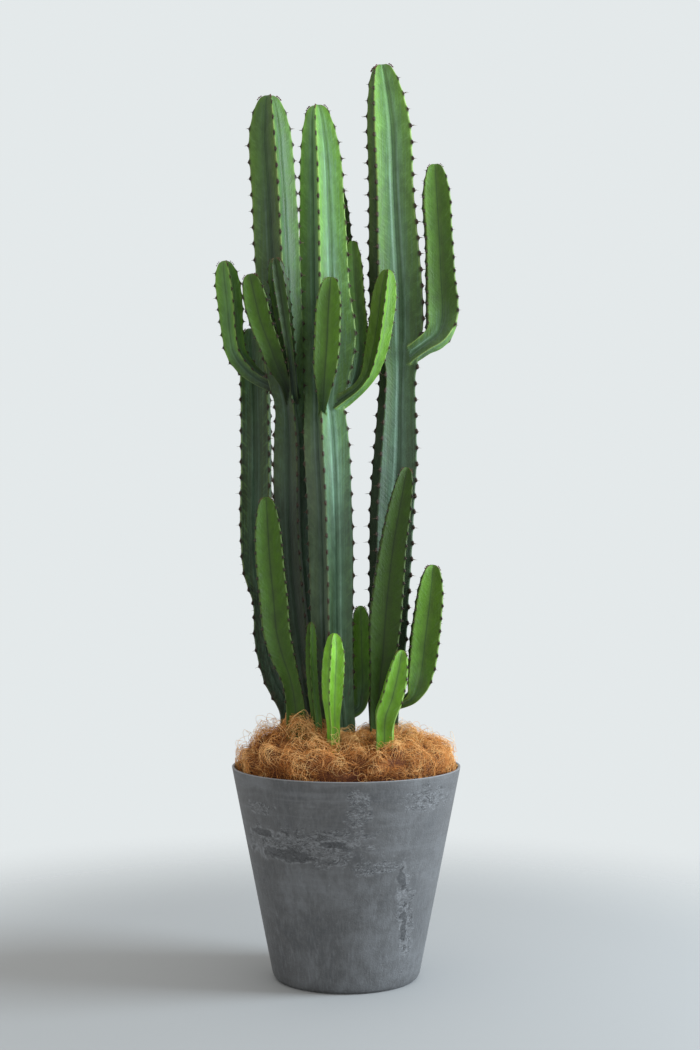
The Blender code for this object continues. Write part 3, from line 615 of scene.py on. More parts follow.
def closed_loft(points, start, end):
    """Vertices and faces of a loft of closed rings, with a pole at either end."""
    rows, ring = points.shape[:2]
    vertices = np.concatenate((points.reshape(-1, 3), [start, end]))
    low = np.arange(rows - 1)[:, None] * ring
    here = np.arange(ring)[None]
    after = (here + 1) % ring
    quads = np.stack((low + here, low + after, low + ring + after, low + ring + here), axis=-1).reshape(-1, 4)
    here, after, last = here[0], after[0], (rows - 1) * ring
    start_fan = np.stack((np.full(ring, rows * ring), after, here), axis=-1)
    end_fan = np.stack((np.full(ring, rows * ring + 1), last + here, last + after), axis=-1)
    return vertices, quads.tolist() + start_fan.tolist() + end_fan.tolist()


def new_piece(name, vertices, faces, marks):
    """A smooth-shaded mesh object with float attributes on its points."""
    mesh = bpy.data.meshes.new(name)
    mesh.from_pydata(np.asarray(vertices).tolist(), [], faces)
    for mark, values in marks.items():
        layer = mesh.attributes.new(mark, "FLOAT", "POINT")
        layer.data.foreach_set("value", np.asarray(values, dtype=np.float32).ravel())
    mesh.shade_smooth()
    piece = bpy.data.objects.new(name, mesh)
    bpy.context.scene.collection.objects.link(piece)
    return piece


def make_stem(stem, step, flank, seed):
    """One closed ribbed stem as an object of its own."""
    points, marks, foot, crown = ribbed_surface(stem, step, flank, seed)
    vertices, faces = closed_loft(points, foot, crown)
    ends = {"across": (0.5, 0.0)}
    flat = {}
    for mark, values in marks.items():
        flat[mark] = np.concatenate((values.ravel(), ends.get(mark, (values[0, 0], values[-1, 0]))))
    return new_piece(stem.name, vertices, faces, flat)


def keep_attributes(piece, sources):
    """Give each point of a joined mesh the marks of the nearest point of the meshes it was made from."""
    tree = kdtree.KDTree(sum(len(places) for places, marks in sources))
    total = 0
    for places, marks in sources:
        for place in places:
            tree.insert(place, total)
            total += 1
    tree.balance()
    pool = {mark: np.concatenate([marks[mark] for places, marks in sources]) for mark in sources[0][1]}
    found = [tree.find(vertex.co) for vertex in piece.data.vertices]
    nearest = np.array([index for co, index, distance in found])
    apart = np.array([distance for co, index, distance in found])
    for mark, values in pool.items():
        layer = piece.data.attributes.get(mark) or piece.data.attributes.new(mark, "FLOAT", "POINT")
        layer.data.foreach_set("value", values[nearest].astype(np.float32))
    return apart > CLOSE


def mesh_points(mesh):
    """A mesh's points as an array."""
    places = np.empty(len(mesh.vertices) * 3)
    mesh.vertices.foreach_get("co", places)
    return places.reshape(-1, 3)


def mesh_marks(mesh):
    """A mesh's float marks as arrays."""
    marks = {}
    for mark in STEM_MARKS:
        values = np.empty(len(mesh.vertices))
        mesh.attributes[mark].data.foreach_get("value", values)
        marks[mark] = values
    return marks


def round_seams(piece, on_seam):
    """Blend the skin across the seams where branches join, so that a branch grows out of its stem."""
    places = mesh_points(piece.data)
    seam = np.flatnonzero(on_seam)
    tree = kdtree.KDTree(len(seam))
    for index in seam:
        tree.insert(places[index], int(index))
    tree.balance()
    apart = np.array([tree.find(place)[2] for place in places])
    weight = np.clip(1 - apart / SEAM_REACH, 0.0, 1.0)[:, None] * SEAM_PULL
    ends = np.empty(len(piece.data.edges) * 2, dtype=np.int64)
    piece.data.edges.foreach_get("vertices", ends)
    ends = ends.reshape(-1, 2)
    near = (weight[ends[:, 0], 0] > 0) | (weight[ends[:, 1], 0] > 0)
    ends = ends[near]
    degree = np.bincount(ends.ravel(), minlength=len(places))[:, None]
    for turn in range(SEAM_TURNS):
        total = np.zeros_like(places)
        np.add.at(total, ends[:, 0], places[ends[:, 1]])
        np.add.at(total, ends[:, 1], places[ends[:, 0]])
        middle = total / np.maximum(degree, 1)
        places = places + (middle - places) * weight * (degree > 0)
    piece.data.vertices.foreach_set("co", places.astype(np.float32).ravel())
    piece.data.update()


def grow_branches(column, branches):
    """Join the branches to their column in one closed skin."""
    sources = [(mesh_points(part.data), mesh_marks(part.data)) for part in [column, *branches]]
    for branch in branches:
        apply_modifier(column, "BOOLEAN", operation="UNION", solver="MANIFOLD", object=branch)
        bpy.data.objects.remove(branch)
    column.data.shade_smooth()
    round_seams(column, keep_attributes(column, sources))


def grow_stems(plan, skin, step):
    """Make the stems of a plan, each in one skin with its branches."""
    for parts in plan:
        node = parts[0][0].name
        grown, *branches = [make_stem(stem, step, flank, seed) for stem, flank, seed in parts]
        if branches:
            grow_branches(grown, branches)
        finish_piece(grown, f"{node}_skin", skin, node)


def add_node(tree, kind, inputs=None, **settings):
    """Add a shader node, set its properties, and set or link its inputs."""
    node = tree.nodes.new(kind)
    for name, value in settings.items():
        setattr(node, name, value)
    for name, value in (inputs or {}).items():
        if isinstance(value, bpy.types.NodeSocket):
            tree.links.new(value, node.inputs[name])
        else:
            node.inputs[name].default_value = value
    return node


def tree_of(*values):
    """The node tree that linked values are in."""
    return next(value.id_data for value in values if isinstance(value, bpy.types.NodeSocket))


def sums(operation, first, second=0.0, third=0.0):
    """The result of a maths node."""
    inputs = {0: first, 1: second, 2: third}
    return add_node(tree_of(first, second, third), "ShaderNodeMath", inputs, operation=operation).outputs[0]


def times(*values):
    """Several values multiplied."""
    product = values[0]
    for value in values[1:]:
        product = sums("MULTIPLY", product, value)
    return product


def span(value, low, high, start=0.0, end=1.0):
    """A value mapped smoothly from one span to another."""
    inputs = {"Value": value, "From Min": low, "From Max": high, "To Min": start, "To Max": end}
    ranged = add_node(tree_of(value), "ShaderNodeMapRange", inputs, interpolation_type="SMOOTHSTEP")
    return ranged.outputs["Result"]


def blend(share, first, second, mode="MIX"):
    """Two colours mixed by a share."""
    inputs = {0: share, 6: first, 7: second}
    mixed = add_node(tree_of(share, first), "ShaderNodeMix", inputs, data_type="RGBA", blend_type=mode)
    return mixed.outputs[2]


def mark_value(tree, mark):
    """A float mark stored on a mesh's points."""
    return add_node(tree, "ShaderNodeAttribute", attribute_name=mark).outputs["Fac"]


def shades(value, stops):
    """A colour ramp through stops of position and colour."""
    ramp = add_node(tree_of(value), "ShaderNodeValToRGB", {"Fac": value})
    elements = ramp.color_ramp.elements
    while len(elements) < len(stops):
        elements.new(0.5)
    for element, (position, colour) in zip(elements, stops):
        element.position = position
        element.color = (*colour, 1.0)
    return ramp.outputs["Color"]


def cloudy(vector, scale, detail=4.0, roughness=0.55, distortion=0.0):
    """The value of a noise texture."""
    inputs = {"Vector": vector, "Scale": scale, "Detail": detail, "Roughness": roughness,
              "Distortion": distortion}
    return add_node(tree_of(vector), "ShaderNodeTexNoise", inputs).outputs["Fac"]


def stretched(vector, scale):
    """Coordinates stretched by a factor along each axis."""
    inputs = {"Vector": vector, "Scale": scale}
    return add_node(tree_of(vector), "ShaderNodeMapping", inputs).outputs["Vector"]


def part_of(vector, axis):
    """One coordinate of a vector."""
    return add_node(tree_of(vector), "ShaderNodeSeparateXYZ", {"Vector": vector}).outputs[axis]


def ragged(vector, scale, size):
    """Random shifts that change from place to place, to make the edge of a shape ragged."""
    tree = tree_of(vector)
    drawn = add_node(tree, "ShaderNodeTexNoise", {"Vector": vector, "Scale": scale, "Detail": 6.0})
    centred = add_node(tree, "ShaderNodeVectorMath", {0: drawn.outputs["Color"], 1: (0.5, 0.5, 0.5)},
                       operation="SUBTRACT")
    inputs = {0: centred.outputs[0], "Scale": size}
    return add_node(tree, "ShaderNodeVectorMath", inputs, operation="SCALE").outputs[0]


def new_group(name, inputs, output):
    """An empty shader node group: its tree, its inputs, and the socket that its one output is linked to."""
    group = bpy.data.node_groups.new(name, "ShaderNodeTree")
    group.interface.new_socket("Vector", in_out="INPUT", socket_type="NodeSocketVector")
    for title, default in inputs.items():
        socket = group.interface.new_socket(title, in_out="INPUT", socket_type="NodeSocketFloat")
        socket.default_value = default
    group.interface.new_socket(output, in_out="OUTPUT", socket_type="NodeSocketFloat")
    given = group.nodes.new("NodeGroupInput").outputs
    return group, given, group.nodes.new("NodeGroupOutput").inputs[output]


def patches_group():
    """Soft-edged patches: 1 inside a patch and 0 between patches."""
    group, given, mask = new_group(
        "patches", {"Scale": 10.0, "Distortion": 0.0, "Low": 0.45, "High": 0.6}, "Mask")
    cloud = cloudy(given["Vector"], given["Scale"], 6.0, 0.6, given["Distortion"])
    group.links.new(span(cloud, given["Low"], given["High"]), mask)
    return group


def grain_group():
    """Fine relief: small bumps with finer pores in them."""
    group, given, height = new_group("grain", {"Scale": 200.0, "Pores": 0.4}, "Height")
    coarse = cloudy(given["Vector"], given["Scale"], 3.0)
    pores = cloudy(given["Vector"], times(given["Scale"], 3.7), 2.0)
    group.links.new(sums("MULTIPLY_ADD", pores, given["Pores"], coarse), height)
    return group


def veins_group():
    """Thin wandering lines, such as cracks and pale veins, where a noise passes through its middle."""
    group, given, mask = new_group(
        "veins", {"Scale": 10.0, "Distortion": 1.0, "Level": 0.5, "Width": 0.01}, "Mask")
    cloud = cloudy(given["Vector"], given["Scale"], 8.0, 0.62, given["Distortion"])
    apart = sums("ABSOLUTE", sums("SUBTRACT", cloud, given["Level"]))
    group.links.new(sums("SUBTRACT", 1.0, span(apart, 0.0, given["Width"])), mask)
    return group


EFFECTS = {"patches": patches_group, "grain": grain_group, "veins": veins_group}


def placed(group, vector, **inputs):
    """The output of a node group placed in a material with its own values."""
    tree = tree_of(vector)
    node = add_node(tree, "ShaderNodeGroup", node_tree=bpy.data.node_groups.get(group) or EFFECTS[group]())
    tree.links.new(vector, node.inputs["Vector"])
    for name, value in inputs.items():
        node.inputs[name.capitalize()].default_value = value
    return node.outputs[0]


class Finish:
    """A Principled material in the making: its nodes, Object coordinates, and the colour laid so far."""

    def __init__(self, name, **uniform):
        self.material = bpy.data.materials.new(name)
        self.material.use_nodes = True
        self.tree = self.material.node_tree
        self.shader = self.tree.nodes["Principled BSDF"]
        for socket, value in uniform.items():
            self.shader.inputs[socket.replace("_", " ")].default_value = value
        self.place = add_node(self.tree, "ShaderNodeTexCoord").outputs["Object"]

    def lay(self, share, tint, mode="MIX"):
        """Lay a tint over the colour, by a share."""
        self.colour = blend(share, self.colour, tint, mode)

    def close(self, roughness, relief, distance, strength):
        """Link the colour, the roughness and the relief to the shader. Returns the material."""
        inputs = {"Height": relief, "Distance": distance, "Strength": strength}
        bump = add_node(self.tree, "ShaderNodeBump", inputs)
        self.tree.links.new(self.colour, self.shader.inputs["Base Color"])
        self.tree.links.new(roughness, self.shader.inputs["Roughness"])
        self.tree.links.new(bump.outputs["Normal"], self.shader.inputs["Normal"])
        return self.material


def age_skin(skin, settings):
    """Lay the skin's main colour, which is young at the crown and old towards the foot."""
    skin.cloud = cloudy(skin.place, 9.0, 5.0)
    aging = shades(skin.from_tip, [(below, (younger,) * 3) for below, younger in YOUNGER_BELOW_CROWN])
    patchy = span(skin.cloud, 0.3, 0.7, -0.08, 0.08)
    skin.youth = sums("ADD", sums("ADD", skin.fresh, aging), patchy)
    ages = ((0.0, settings.old), (0.5, settings.grown), (1.0, settings.fresh))
    skin.colour = shades(skin.youth, ages)
    skin.aged = span(skin.youth, 0.85, 0.25)
    skin.waxed = times(skin.aged, skin.waxy)


def lay_bloom(skin, bloom):
    """Lay the waxy bloom in fine stripes, as a film in the valleys and all over the oldest skin, and lay
    painted light, a paler grey-green, on the waxy skin of the side away from the light."""
    skin.fibres = cloudy(stretched(skin.place, (380.0, 380.0, 7.0)), 1.0, 4.0)
    skin.lay(times(span(skin.fibres, 0.44, 0.66), skin.aged, 0.46), bloom)
    film = times(span(skin.across, 0.40, 0.80), span(skin.cloud, 0.35, 0.62, 0.30, 0.72))
    skin.lay(times(film, skin.waxed), bloom)
    skin.lay(times(skin.waxed, span(skin.from_tip, 0.38, 0.70, 0.0, 0.34)), bloom)
    # Painted light: a paler grey-green on the waxy skin of the side away from the light
    skin.lay(times(skin.away, skin.waxed, 0.45), SHADED_SIDE_FILL_TINT)


def lay_growth(skin):
    """Lay the warm green of young crests, and slanting streaks like a feather's."""
    tree = skin.tree
    warm = times(span(skin.across, 0.50, 0.06), span(skin.youth, 0.10, 0.42),
                 span(skin.from_tip, 0.48, 0.10, 0.0, 0.48))
    skin.lay(warm, WARM_TINT)
    rise = sums("MULTIPLY_ADD", skin.across, FEATHER_RISE, skin.along)
    inputs = {"X": rise, "Y": times(skin.across, FEATHER_WIDTH)}
    slanting = add_node(tree, "ShaderNodeCombineXYZ", inputs).outputs[0]
    skin.feather = cloudy(stretched(slanting, (170.0, 240.0, 1.0)), 1.0, 4.0, 0.6)
    plume = times(span(skin.feather, 0.48, 0.68), span(skin.across, 0.85, 0.30),
                  span(skin.from_tip, 0.60, 0.30, 0.12, 0.34))
    skin.lay(plume, FEATHER_TINT)


def lay_valleys(skin):
    """Lay the pale broken fold lines beside the valleys, the valleys' creases, and painted shade deep in
    the valleys, stronger on the old skin of the side away from the light.
    """
    across = skin.across
    cloud = cloudy(stretched(skin.place, (30.0, 30.0, 7.0)), 1.0, 3.0)
    apart = sums("ABSOLUTE", sums("SUBTRACT", across, FOLD_PLACE))
    fold = times(span(apart, 0.09, 0.01), span(cloud, 0.35, 0.62, 0.10, 1.0))
    skin.lay(times(fold, skin.waxed, 0.50), FOLD_TINT)
    young = sums("SUBTRACT", 1.0, skin.aged)
    skin.lay(times(span(across, 0.55, 0.90, 0.0, 0.38), young), CREASE_TINT)
    # Painted shade deep in each valley, and more on the old skin of the side away from the light
    valley_shade = sums("ADD", span(across, 0.84, 1.0, 0.0, 0.25), span(across, 0.95, 1.0, 0.0, 0.40))
    skin.lay(valley_shade, VALLEY_SHADE_TINT)
    skin.lay(times(skin.away, skin.aged, span(across, 0.45, 0.92, 0.0, 0.68)), VALLEY_SHADE_TINT)


def lay_crests(skin):
    """Lay pale dashes between the teeth, brown horn round the teeth, and rust on old crests."""
    across = skin.across
    dash = times(span(across, 0.12, 0.03), span(skin.tooth, 0.40, 0.08, 0.0, 0.70),
                 span(skin.from_tip, 0.60, 0.30, 0.15, 1.0))
    skin.lay(dash, DASH_TINT)
    horn = times(span(across, 0.17, 0.04), span(skin.tooth, 0.36, 0.76, 0.0, 0.95))
    skin.lay(horn, HORN_TINT)
    rust = times(span(across, 0.14, 0.04), span(skin.cloud, 0.50, 0.66, 0.0, 0.3))
    skin.lay(times(rust, skin.aged), RUST_TINT)


def tone_skin(skin):
    """Darken or lighten the colour by the stem's tone mark, which carries painted shade and painted light,
    and by a mottle; then paint shade on the side away from the light."""
    tree = skin.tree
    skin.mottle = cloudy(stretched(skin.place, (1.0, 1.0, 0.6)), 75.0, 5.0, 0.65)
    tone = times(skin.tone, span(skin.mottle, 0.30, 0.70, 0.82, 1.16))
    toned = add_node(tree, "ShaderNodeCombineXYZ", {"X": tone, "Y": tone, "Z": tone})
    skin.lay(1.0, toned.outputs[0], "MULTIPLY")
    # Painted shade on the side away from the light
    skin.lay(skin.shady, SHADE_TINT, "MULTIPLY")


def lay_blemishes(skin):
    """Lay the brown of the crown, corky patches near the foot, and small pale specks."""
    crown = times(span(skin.from_tip, 0.007, 0.001), span(skin.across, 0.32, 0.04, 0.0, 0.75))
    skin.lay(crown, CROWN_TINT)
    cork = placed("patches", stretched(skin.place, (1.0, 1.0, 0.35)), scale=42.0, distortion=0.6, low=0.52,
                  high=0.64)
    low = span(part_of(skin.place, "Z"), 0.60, 0.40)
    skin.cork = times(cork, low, skin.aged, 0.6)
    skin.lay(skin.cork, CORK_TINT)
    speck = placed("patches", skin.place, scale=420.0, low=0.66, high=0.78)
    skin.lay(times(speck, 0.14), SPECK_TINT)


def skin_material(name, settings):
    """Waxy skin: greyer with age, with bluish bloom in the folds, feathered streaks and brown ridges."""
    skin = Finish(name, Specular_IOR_Level=0.28)
    tree = skin.tree
    for mark in STEM_MARKS:
        setattr(skin, mark, mark_value(tree, mark))
    age_skin(skin, settings)
    lay_bloom(skin, (*settings.bloom, 1.0))
    lay_growth(skin)
    lay_valleys(skin)
    lay_crests(skin)
    tone_skin(skin)
    lay_blemishes(skin)
    grain = placed("grain", skin.place, scale=330.0, pores=0.4)
    relief = sums("MULTIPLY_ADD", skin.feather, 2.2, sums("MULTIPLY_ADD", skin.cork, 2.0, grain))
    relief = sums("MULTIPLY_ADD", skin.fibres, 1.2, relief)
    return skin.close(span(skin.mottle, 0.3, 0.7, 0.42, 0.60), relief, distance=0.0007, strength=0.5)


def spine_material():
    """Dark horny shields, grey-brown spines with black tips, and brown buds."""
    horn = Finish("horny_spine", Specular_IOR_Level=0.3)
    tree = horn.tree
    speck = cloudy(horn.place, 900.0, 2.0)
    horn.colour = shades(mark_value(tree, "out"), SPINE_SHADES)
    horn.lay(span(speck, 0.45, 0.7, 0.0, 0.4), SPINE_TINT)
    horn.lay(times(mark_value(tree, "bud"), 0.8), BUD_TINT)
    return horn.close(span(speck, 0.3, 0.7, 0.55, 0.75), speck, distance=0.0002, strength=0.4)


def coir_material(name, dark, middle, pale, matted=0.0):
    """Curly coconut fibre: each fibre has its own shade, from dark rust to straw, darker with painted shade
    in pockets and deep in the mound. Where the fibres are matted, swirls of a noise stand for them."""
    coir = Finish(name, Specular_IOR_Level=0.2)
    tree = coir.tree
    drift = span(cloudy(coir.place, 60.0, 3.0), 0.3, 0.7, -0.16, 0.16)
    swirls = cloudy(coir.place, 330.0, 4.0, 0.7, 3.0)
    shade = sums("ADD", mark_value(tree, "shade"), drift)
    shade = sums("ADD", shade, span(swirls, 0.42, 0.62, 0.0, matted))
    coir.colour = shades(shade, ((0.0, dark), (0.5, middle), (1.0, pale)))
    grain = placed("grain", coir.place, scale=700.0, pores=0.3)
    relief = sums("MULTIPLY_ADD", swirls, 4.0 * matted, grain)
    return coir.close(span(grain, 0.4, 1.0, 0.75, 0.95), relief, distance=0.0006, strength=0.5)


def soil_material():
    """Dark crumbly potting soil with paler crumbs."""
    soil = Finish("crumbly_soil", Specular_IOR_Level=0.2)
    crumbs = placed("patches", soil.place, scale=240.0, low=0.46, high=0.62)
    soil.colour = blend(crumbs, SOIL_TINT, CRUMB_TINT)
    grain = placed("grain", soil.place, scale=260.0, pores=0.5)
    return soil.close(span(grain, 0.4, 1.0, 0.85, 1.0), grain, distance=0.003, strength=0.8)


def lay_strokes(pot, dark, pale):
    """Lay fine specks, strokes across the upper wall, and streaks that run down to the foot."""
    pot.fine = cloudy(stretched(pot.place, (1.0, 1.0, 0.5)), 120.0, 5.0, 0.65)
    pot.lay(span(pot.fine, 0.45, 0.70, 0.0, 0.32), pale)
    pot.lay(span(pot.fine, 0.50, 0.32, 0.0, 0.34), dark)
    brushed = cloudy(stretched(pot.place, (7.0, 7.0, 110.0)), 1.0, 5.0, 0.6)
    upper = span(pot.height, 0.10, 0.24, 0.08, 0.24)
    pot.lay(times(span(brushed, 0.50, 0.70), upper), STREAK_TINT)
    pot.lay(times(span(brushed, 0.48, 0.30), upper), dark)
    streaks = cloudy(stretched(pot.place, (260.0, 260.0, 9.0)), 1.0, 4.0, 0.6)
    foot = span(pot.height, 0.26, 0.03, 0.14, 0.34)
    pot.lay(times(span(streaks, 0.46, 0.70), foot), STREAK_TINT)


def spot_distance(pot, centre, half):
    """How far out of a place on the pot's front a point is: 0 at its middle and 1 at its ragged edge."""
    across, up = 1 / half[0], 1 / half[1]
    inputs = {"Vector": pot.place, "Scale": (across, 0.0, up),
              "Location": (-centre[0] * across, 0.0, -centre[1] * up)}
    shifted = add_node(pot.tree, "ShaderNodeMapping", inputs).outputs["Vector"]
    inputs = {0: shifted, 1: pot.raggedness}
    moved = add_node(pot.tree, "ShaderNodeVectorMath", inputs, operation="ADD").outputs[0]
    return add_node(pot.tree, "ShaderNodeVectorMath", {0: moved}, operation="LENGTH").outputs["Value"]


def worn_share(pot):
    """Where the pot is worn: in its own places on the front, and in scattered patches behind."""
    worn = 0.0
    for centre, half in WORN_PLACES:
        worn = sums("MAXIMUM", worn, span(spot_distance(pot, centre, half), 1.25, 0.85))
    patches = placed("patches", stretched(pot.place, (1.0, 1.0, 1.6)), scale=11.0,
                     distortion=0.8, low=0.53, high=0.60)
    behind = sums("SUBTRACT", 1.0, pot.front)
    return sums("MULTIPLY_ADD", worn, pot.front, times(patches, behind))


def lay_wear(pot, worn, pale):
    """Lay flakes, pale veins and dark cracks where the pot is worn. Returns their relief."""
    flat = stretched(pot.place, (1.0, 1.0, 2.1))
    veins = placed("veins", flat, scale=34.0, distortion=1.4, level=0.520, width=0.020)
    cracks = placed("veins", flat, scale=30.0, distortion=1.5, level=0.480, width=0.022)
    flakes = placed("patches", flat, scale=120.0, distortion=0.9, low=0.53, high=0.58)
    pot.lay(times(worn, 0.18), pale)
    pot.lay(times(flakes, worn, 0.52), FLAKE_TINT)
    veins = times(veins, worn)
    pot.lay(veins, FLAKE_TINT)
    cracks = times(cracks, worn)
    pot.lay(times(cracks, 0.90), CRACK_TINT)
    return sums("SUBTRACT", veins, times(cracks, 1.5))


def lay_dark_places(pot):
    """Lay the bare dark places on the front, each with a broken pale lip."""
    broken = span(pot.fine, 0.42, 0.60, 0.0, 0.50)
    for centre, half in DARK_PLACES:
        out = spot_distance(pot, centre, half)
        lip = times(span(out, 0.98, 1.10), span(out, 1.60, 1.20), pot.front, broken)
        pot.lay(lip, FLAKE_TINT)
        pot.lay(times(span(out, 1.12, 0.86), pot.front, 0.58), CRACK_TINT)


def pot_material(settings):
    """Matt grey composite, marbled like worn concrete, with flaking places, fine streaks and specks, and
    painted light that makes its right side and the top of its lip paler.
    """
    pot = Finish("marbled_grey_composite", Specular_IOR_Level=0.62)
    dark, pale = (*settings.dark, 1.0), (*settings.pale, 1.0)
    pot.height = part_of(pot.place, "Z")
    pot.front = span(part_of(pot.place, "Y"), 0.03, -0.03)
    pot.raggedness = ragged(pot.place, 48.0, 2.8)
    cloud = cloudy(stretched(pot.place, (1.0, 1.0, 1.3)), 9.0, 9.0, 0.70, 0.6)
    pot.colour = shades(cloud, ((0.36, settings.dark), (0.50, settings.stone), (0.68, settings.pale)))
    # Painted light: the right side, towards the lamp, is laid paler
    pot.lay(span(part_of(pot.place, "X"), 0.02, 0.17, 0.0, 0.40), pale)
    lay_strokes(pot, dark, pale)
    wear = lay_wear(pot, worn_share(pot), pale)
    lay_dark_places(pot)
    speck = placed("patches", pot.place, scale=330.0, low=0.62, high=0.72)
    pot.lay(times(speck, 0.35), VEIN_TINT)
    # Painted highlight along the top of the lip
    rim = span(pot.height, POT_HEIGHT - RIM_HIGHLIGHT_FROM, POT_HEIGHT - RIM_HIGHLIGHT_FULL, 0.0, 0.60)
    pot.lay(rim, VEIN_TINT)
    grain = placed("grain", pot.place, scale=380.0, pores=0.5)
    relief = sums("MULTIPLY_ADD", pot.fine, 0.8, sums("ADD", wear, grain))
    return pot.close(span(cloud, 0.3, 0.7, 0.44, 0.60), relief, distance=0.0011, strength=0.6)


def deselect():
    """Deselect every object."""
    bpy.ops.object.select_all(action="DESELECT")


def pick(piece, test):
    """In edit mode, select only the vertices that pass a test."""
    bpy.ops.mesh.select_mode(type="VERT")
    bpy.ops.mesh.select_all(action="DESELECT")
    mesh = bmesh.from_edit_mesh(piece.data)
    for vertex in mesh.verts:
        vertex.select_set(test(vertex))
    bmesh.update_edit_mesh(piece.data)


def apply_modifier(piece, kind, **settings):
    """Add a modifier and apply it."""
    modifier = piece.modifiers.new(kind.lower(), kind)
    for name, value in settings.items():
        setattr(modifier, name, value)
    deselect()
    piece.select_set(True)
    bpy.context.view_layer.objects.active = piece
    bpy.ops.object.modifier_apply(modifier=modifier.name)


def model_areole(radius, length):
    """One horny shield with its pair of spines, at the origin: +X out of the rib, +Z up the stem. Returns
    the points, the faces, and how far out on a spine each point is."""
    deselect()
    bpy.ops.mesh.primitive_uv_sphere_add(segments=SHIELD_SEGMENTS, ring_count=SHIELD_RINGS, radius=length / 2)
    shield = bpy.context.object
    bpy.ops.object.mode_set(mode="EDIT")
    bpy.ops.transform.resize(value=(SHIELD_DEPTH, SHIELD_WIDTH, 1.0))
    pick(shield, lambda vertex: vertex.co.z > length * SHIELD_TOP)
    bpy.ops.transform.translate(value=(-length * SHIELD_LEAN, 0, length * SHIELD_TAPER))
    bpy.ops.object.mode_set(mode="OBJECT")
    parts = [shield]
    for side in (-1, 1):
        way = Vector((1.0, side * SPINE_SPREAD, SPINE_DROOP)).normalized()
        deselect()
        bpy.ops.mesh.primitive_cone_add(vertices=SPINE_SIDES, radius1=radius, radius2=0, depth=1.0,
                                        location=way / 2, rotation=way.to_track_quat("Z", "Y").to_euler())
        parts.append(bpy.context.object)
    deselect()
    for part in parts:
        part.select_set(True)
    bpy.context.view_layer.objects.active = shield
    bpy.ops.object.join()
    points = mesh_points(shield.data)
    faces = [tuple(polygon.vertices) for polygon in shield.data.polygons]
    out = np.clip(np.linalg.norm(points, axis=1) - length, 0.0, 1.0)
    bpy.data.objects.remove(shield)
    return points, faces, out


def crest_line(stem, line, rib, along, flank, seed):
    """Points on a rib's crest at distances along a stem."""
    centres, radii, ups, fronts, sides = line.at(along)
    swell = 1 + wander(along, seed + SWELL_SEED, SWELL)
    radii = radii * dome_share(line.length - along, stem.dome) * swell
    crest = compass(stem.ribs[rib])
    sideways = np.array((-crest[1], crest[0]))
    flat = crest[None] * (1 + flank[0][1]) + wander(along, seed + rib, SWAY)[:, None] * sideways[None]
    flat = flat * radii[:, None] + crest[None] * TOOTH_HEIGHT
    outward = crest[0] * fronts + crest[1] * sides
    return centres + flat[:, :1] * fronts + flat[:, 1:] * sides, outward


def areoles(stem, flank, seed, model):
    """The shields and spines along every rib of a stem, as points, faces and marks."""
    route, bare = rooted(stem)
    line = Centreline(route.route)
    draw = np.random.default_rng(seed)
    points, faces, out = model
    places, rows, marks = [], [], []
    for rib in range(len(stem.ribs)):
        teeth = tooth_places(stem, rib, bare, line.length)
        along = np.append(teeth, line.length - np.array(BUD_PLACES))
        here, outward = crest_line(stem, line, rib, along, flank, seed)
        ahead = crest_line(stem, line, rib, np.minimum(along + CREST_STEP, line.length), flank, seed)[0]
        behind = crest_line(stem, line, rib, along - CREST_STEP, flank, seed)[0]
        ups = unit(ahead - behind)
        outward = unit(outward - (outward * ups).sum(axis=1, keepdims=True) * ups)
        across = np.cross(ups, outward)
        close = np.clip((line.length - along) / stem.dome, SMALLEST_SHIELD, 1.0)
        for spot in range(len(along)):
            bud = spot >= len(teeth)
            size = (BUD_SIZE if bud else close[spot]) * stem.spine / USUAL_SPINE * draw.uniform(*SHIELD_SIZES)
            spine = stem.spine * draw.uniform(*SPINE_LENGTHS) * (BUD_SPINE if bud else 1.0)
            shape = np.where(out[:, None] > 0, points * spine, points * size)
            rows.extend(tuple(corner + len(places) * len(points) for corner in face) for face in faces)
            places.append(here[spot] + shape @ np.stack((outward[spot], across[spot], ups[spot])))
            marks.append((out, np.full(len(points), float(bud))))
    return np.concatenate(places), rows, np.concatenate(marks, axis=1)


def wall_radius(height):
    """Outer radius of the pot's wall at a height."""
    share = (height - BASE_BEVEL) / (POT_HEIGHT - BASE_BEVEL)
    return BASE_RADIUS + (RIM_RADIUS - BASE_RADIUS) * share


def mound_edge():
    """Radius of the coir at the soil."""
    return wall_radius(SOIL_TOP) - WALL - COIR_CLEARANCE


def coir_height(x, y):
    """Height of the top of the coir: a cushion with steep edges, lumps and a furrow at the back."""
    share = np.minimum(1.0, np.hypot(x, y) / mound_edge())
    inland = 1 - share**COIR_LUMP_POWER
    height = SOIL_TOP + COIR_EDGE + COIR_RISE * (1 - share**COIR_EDGE_POWER) ** (1 / COIR_EDGE_POWER)
    return sink_at_stems(x, y, height + lumps(x, y) * inland)


def lumps(x, y):
    """The mound's lumps and hollows."""
    total = np.zeros_like(x)
    for centre_x, centre_y, radius, rise in COIR_LUMPS:
        total += rise * np.exp(-((x - centre_x) ** 2 + (y - centre_y) ** 2) / radius**2)
    return total


def sink_at_stems(x, y, height):
    """The mound's height, lower where a stem stands in it."""
    for stem in STANDING:
        foot_x, foot_y, foot_top, radius = stem.route[0]
        away = np.maximum(0.0, np.hypot(x - foot_x, y - foot_y) - radius - COIR_BELOW_STEM)
        height = np.minimum(height, foot_top - COIR_BELOW_STEM + away)
    return height


def tufts(points, size):
    """How far the coir bulges out in tufts (1) or draws back in pockets (-1)."""
    return np.array([noise.noise(Vector(point) / size) for point in points])


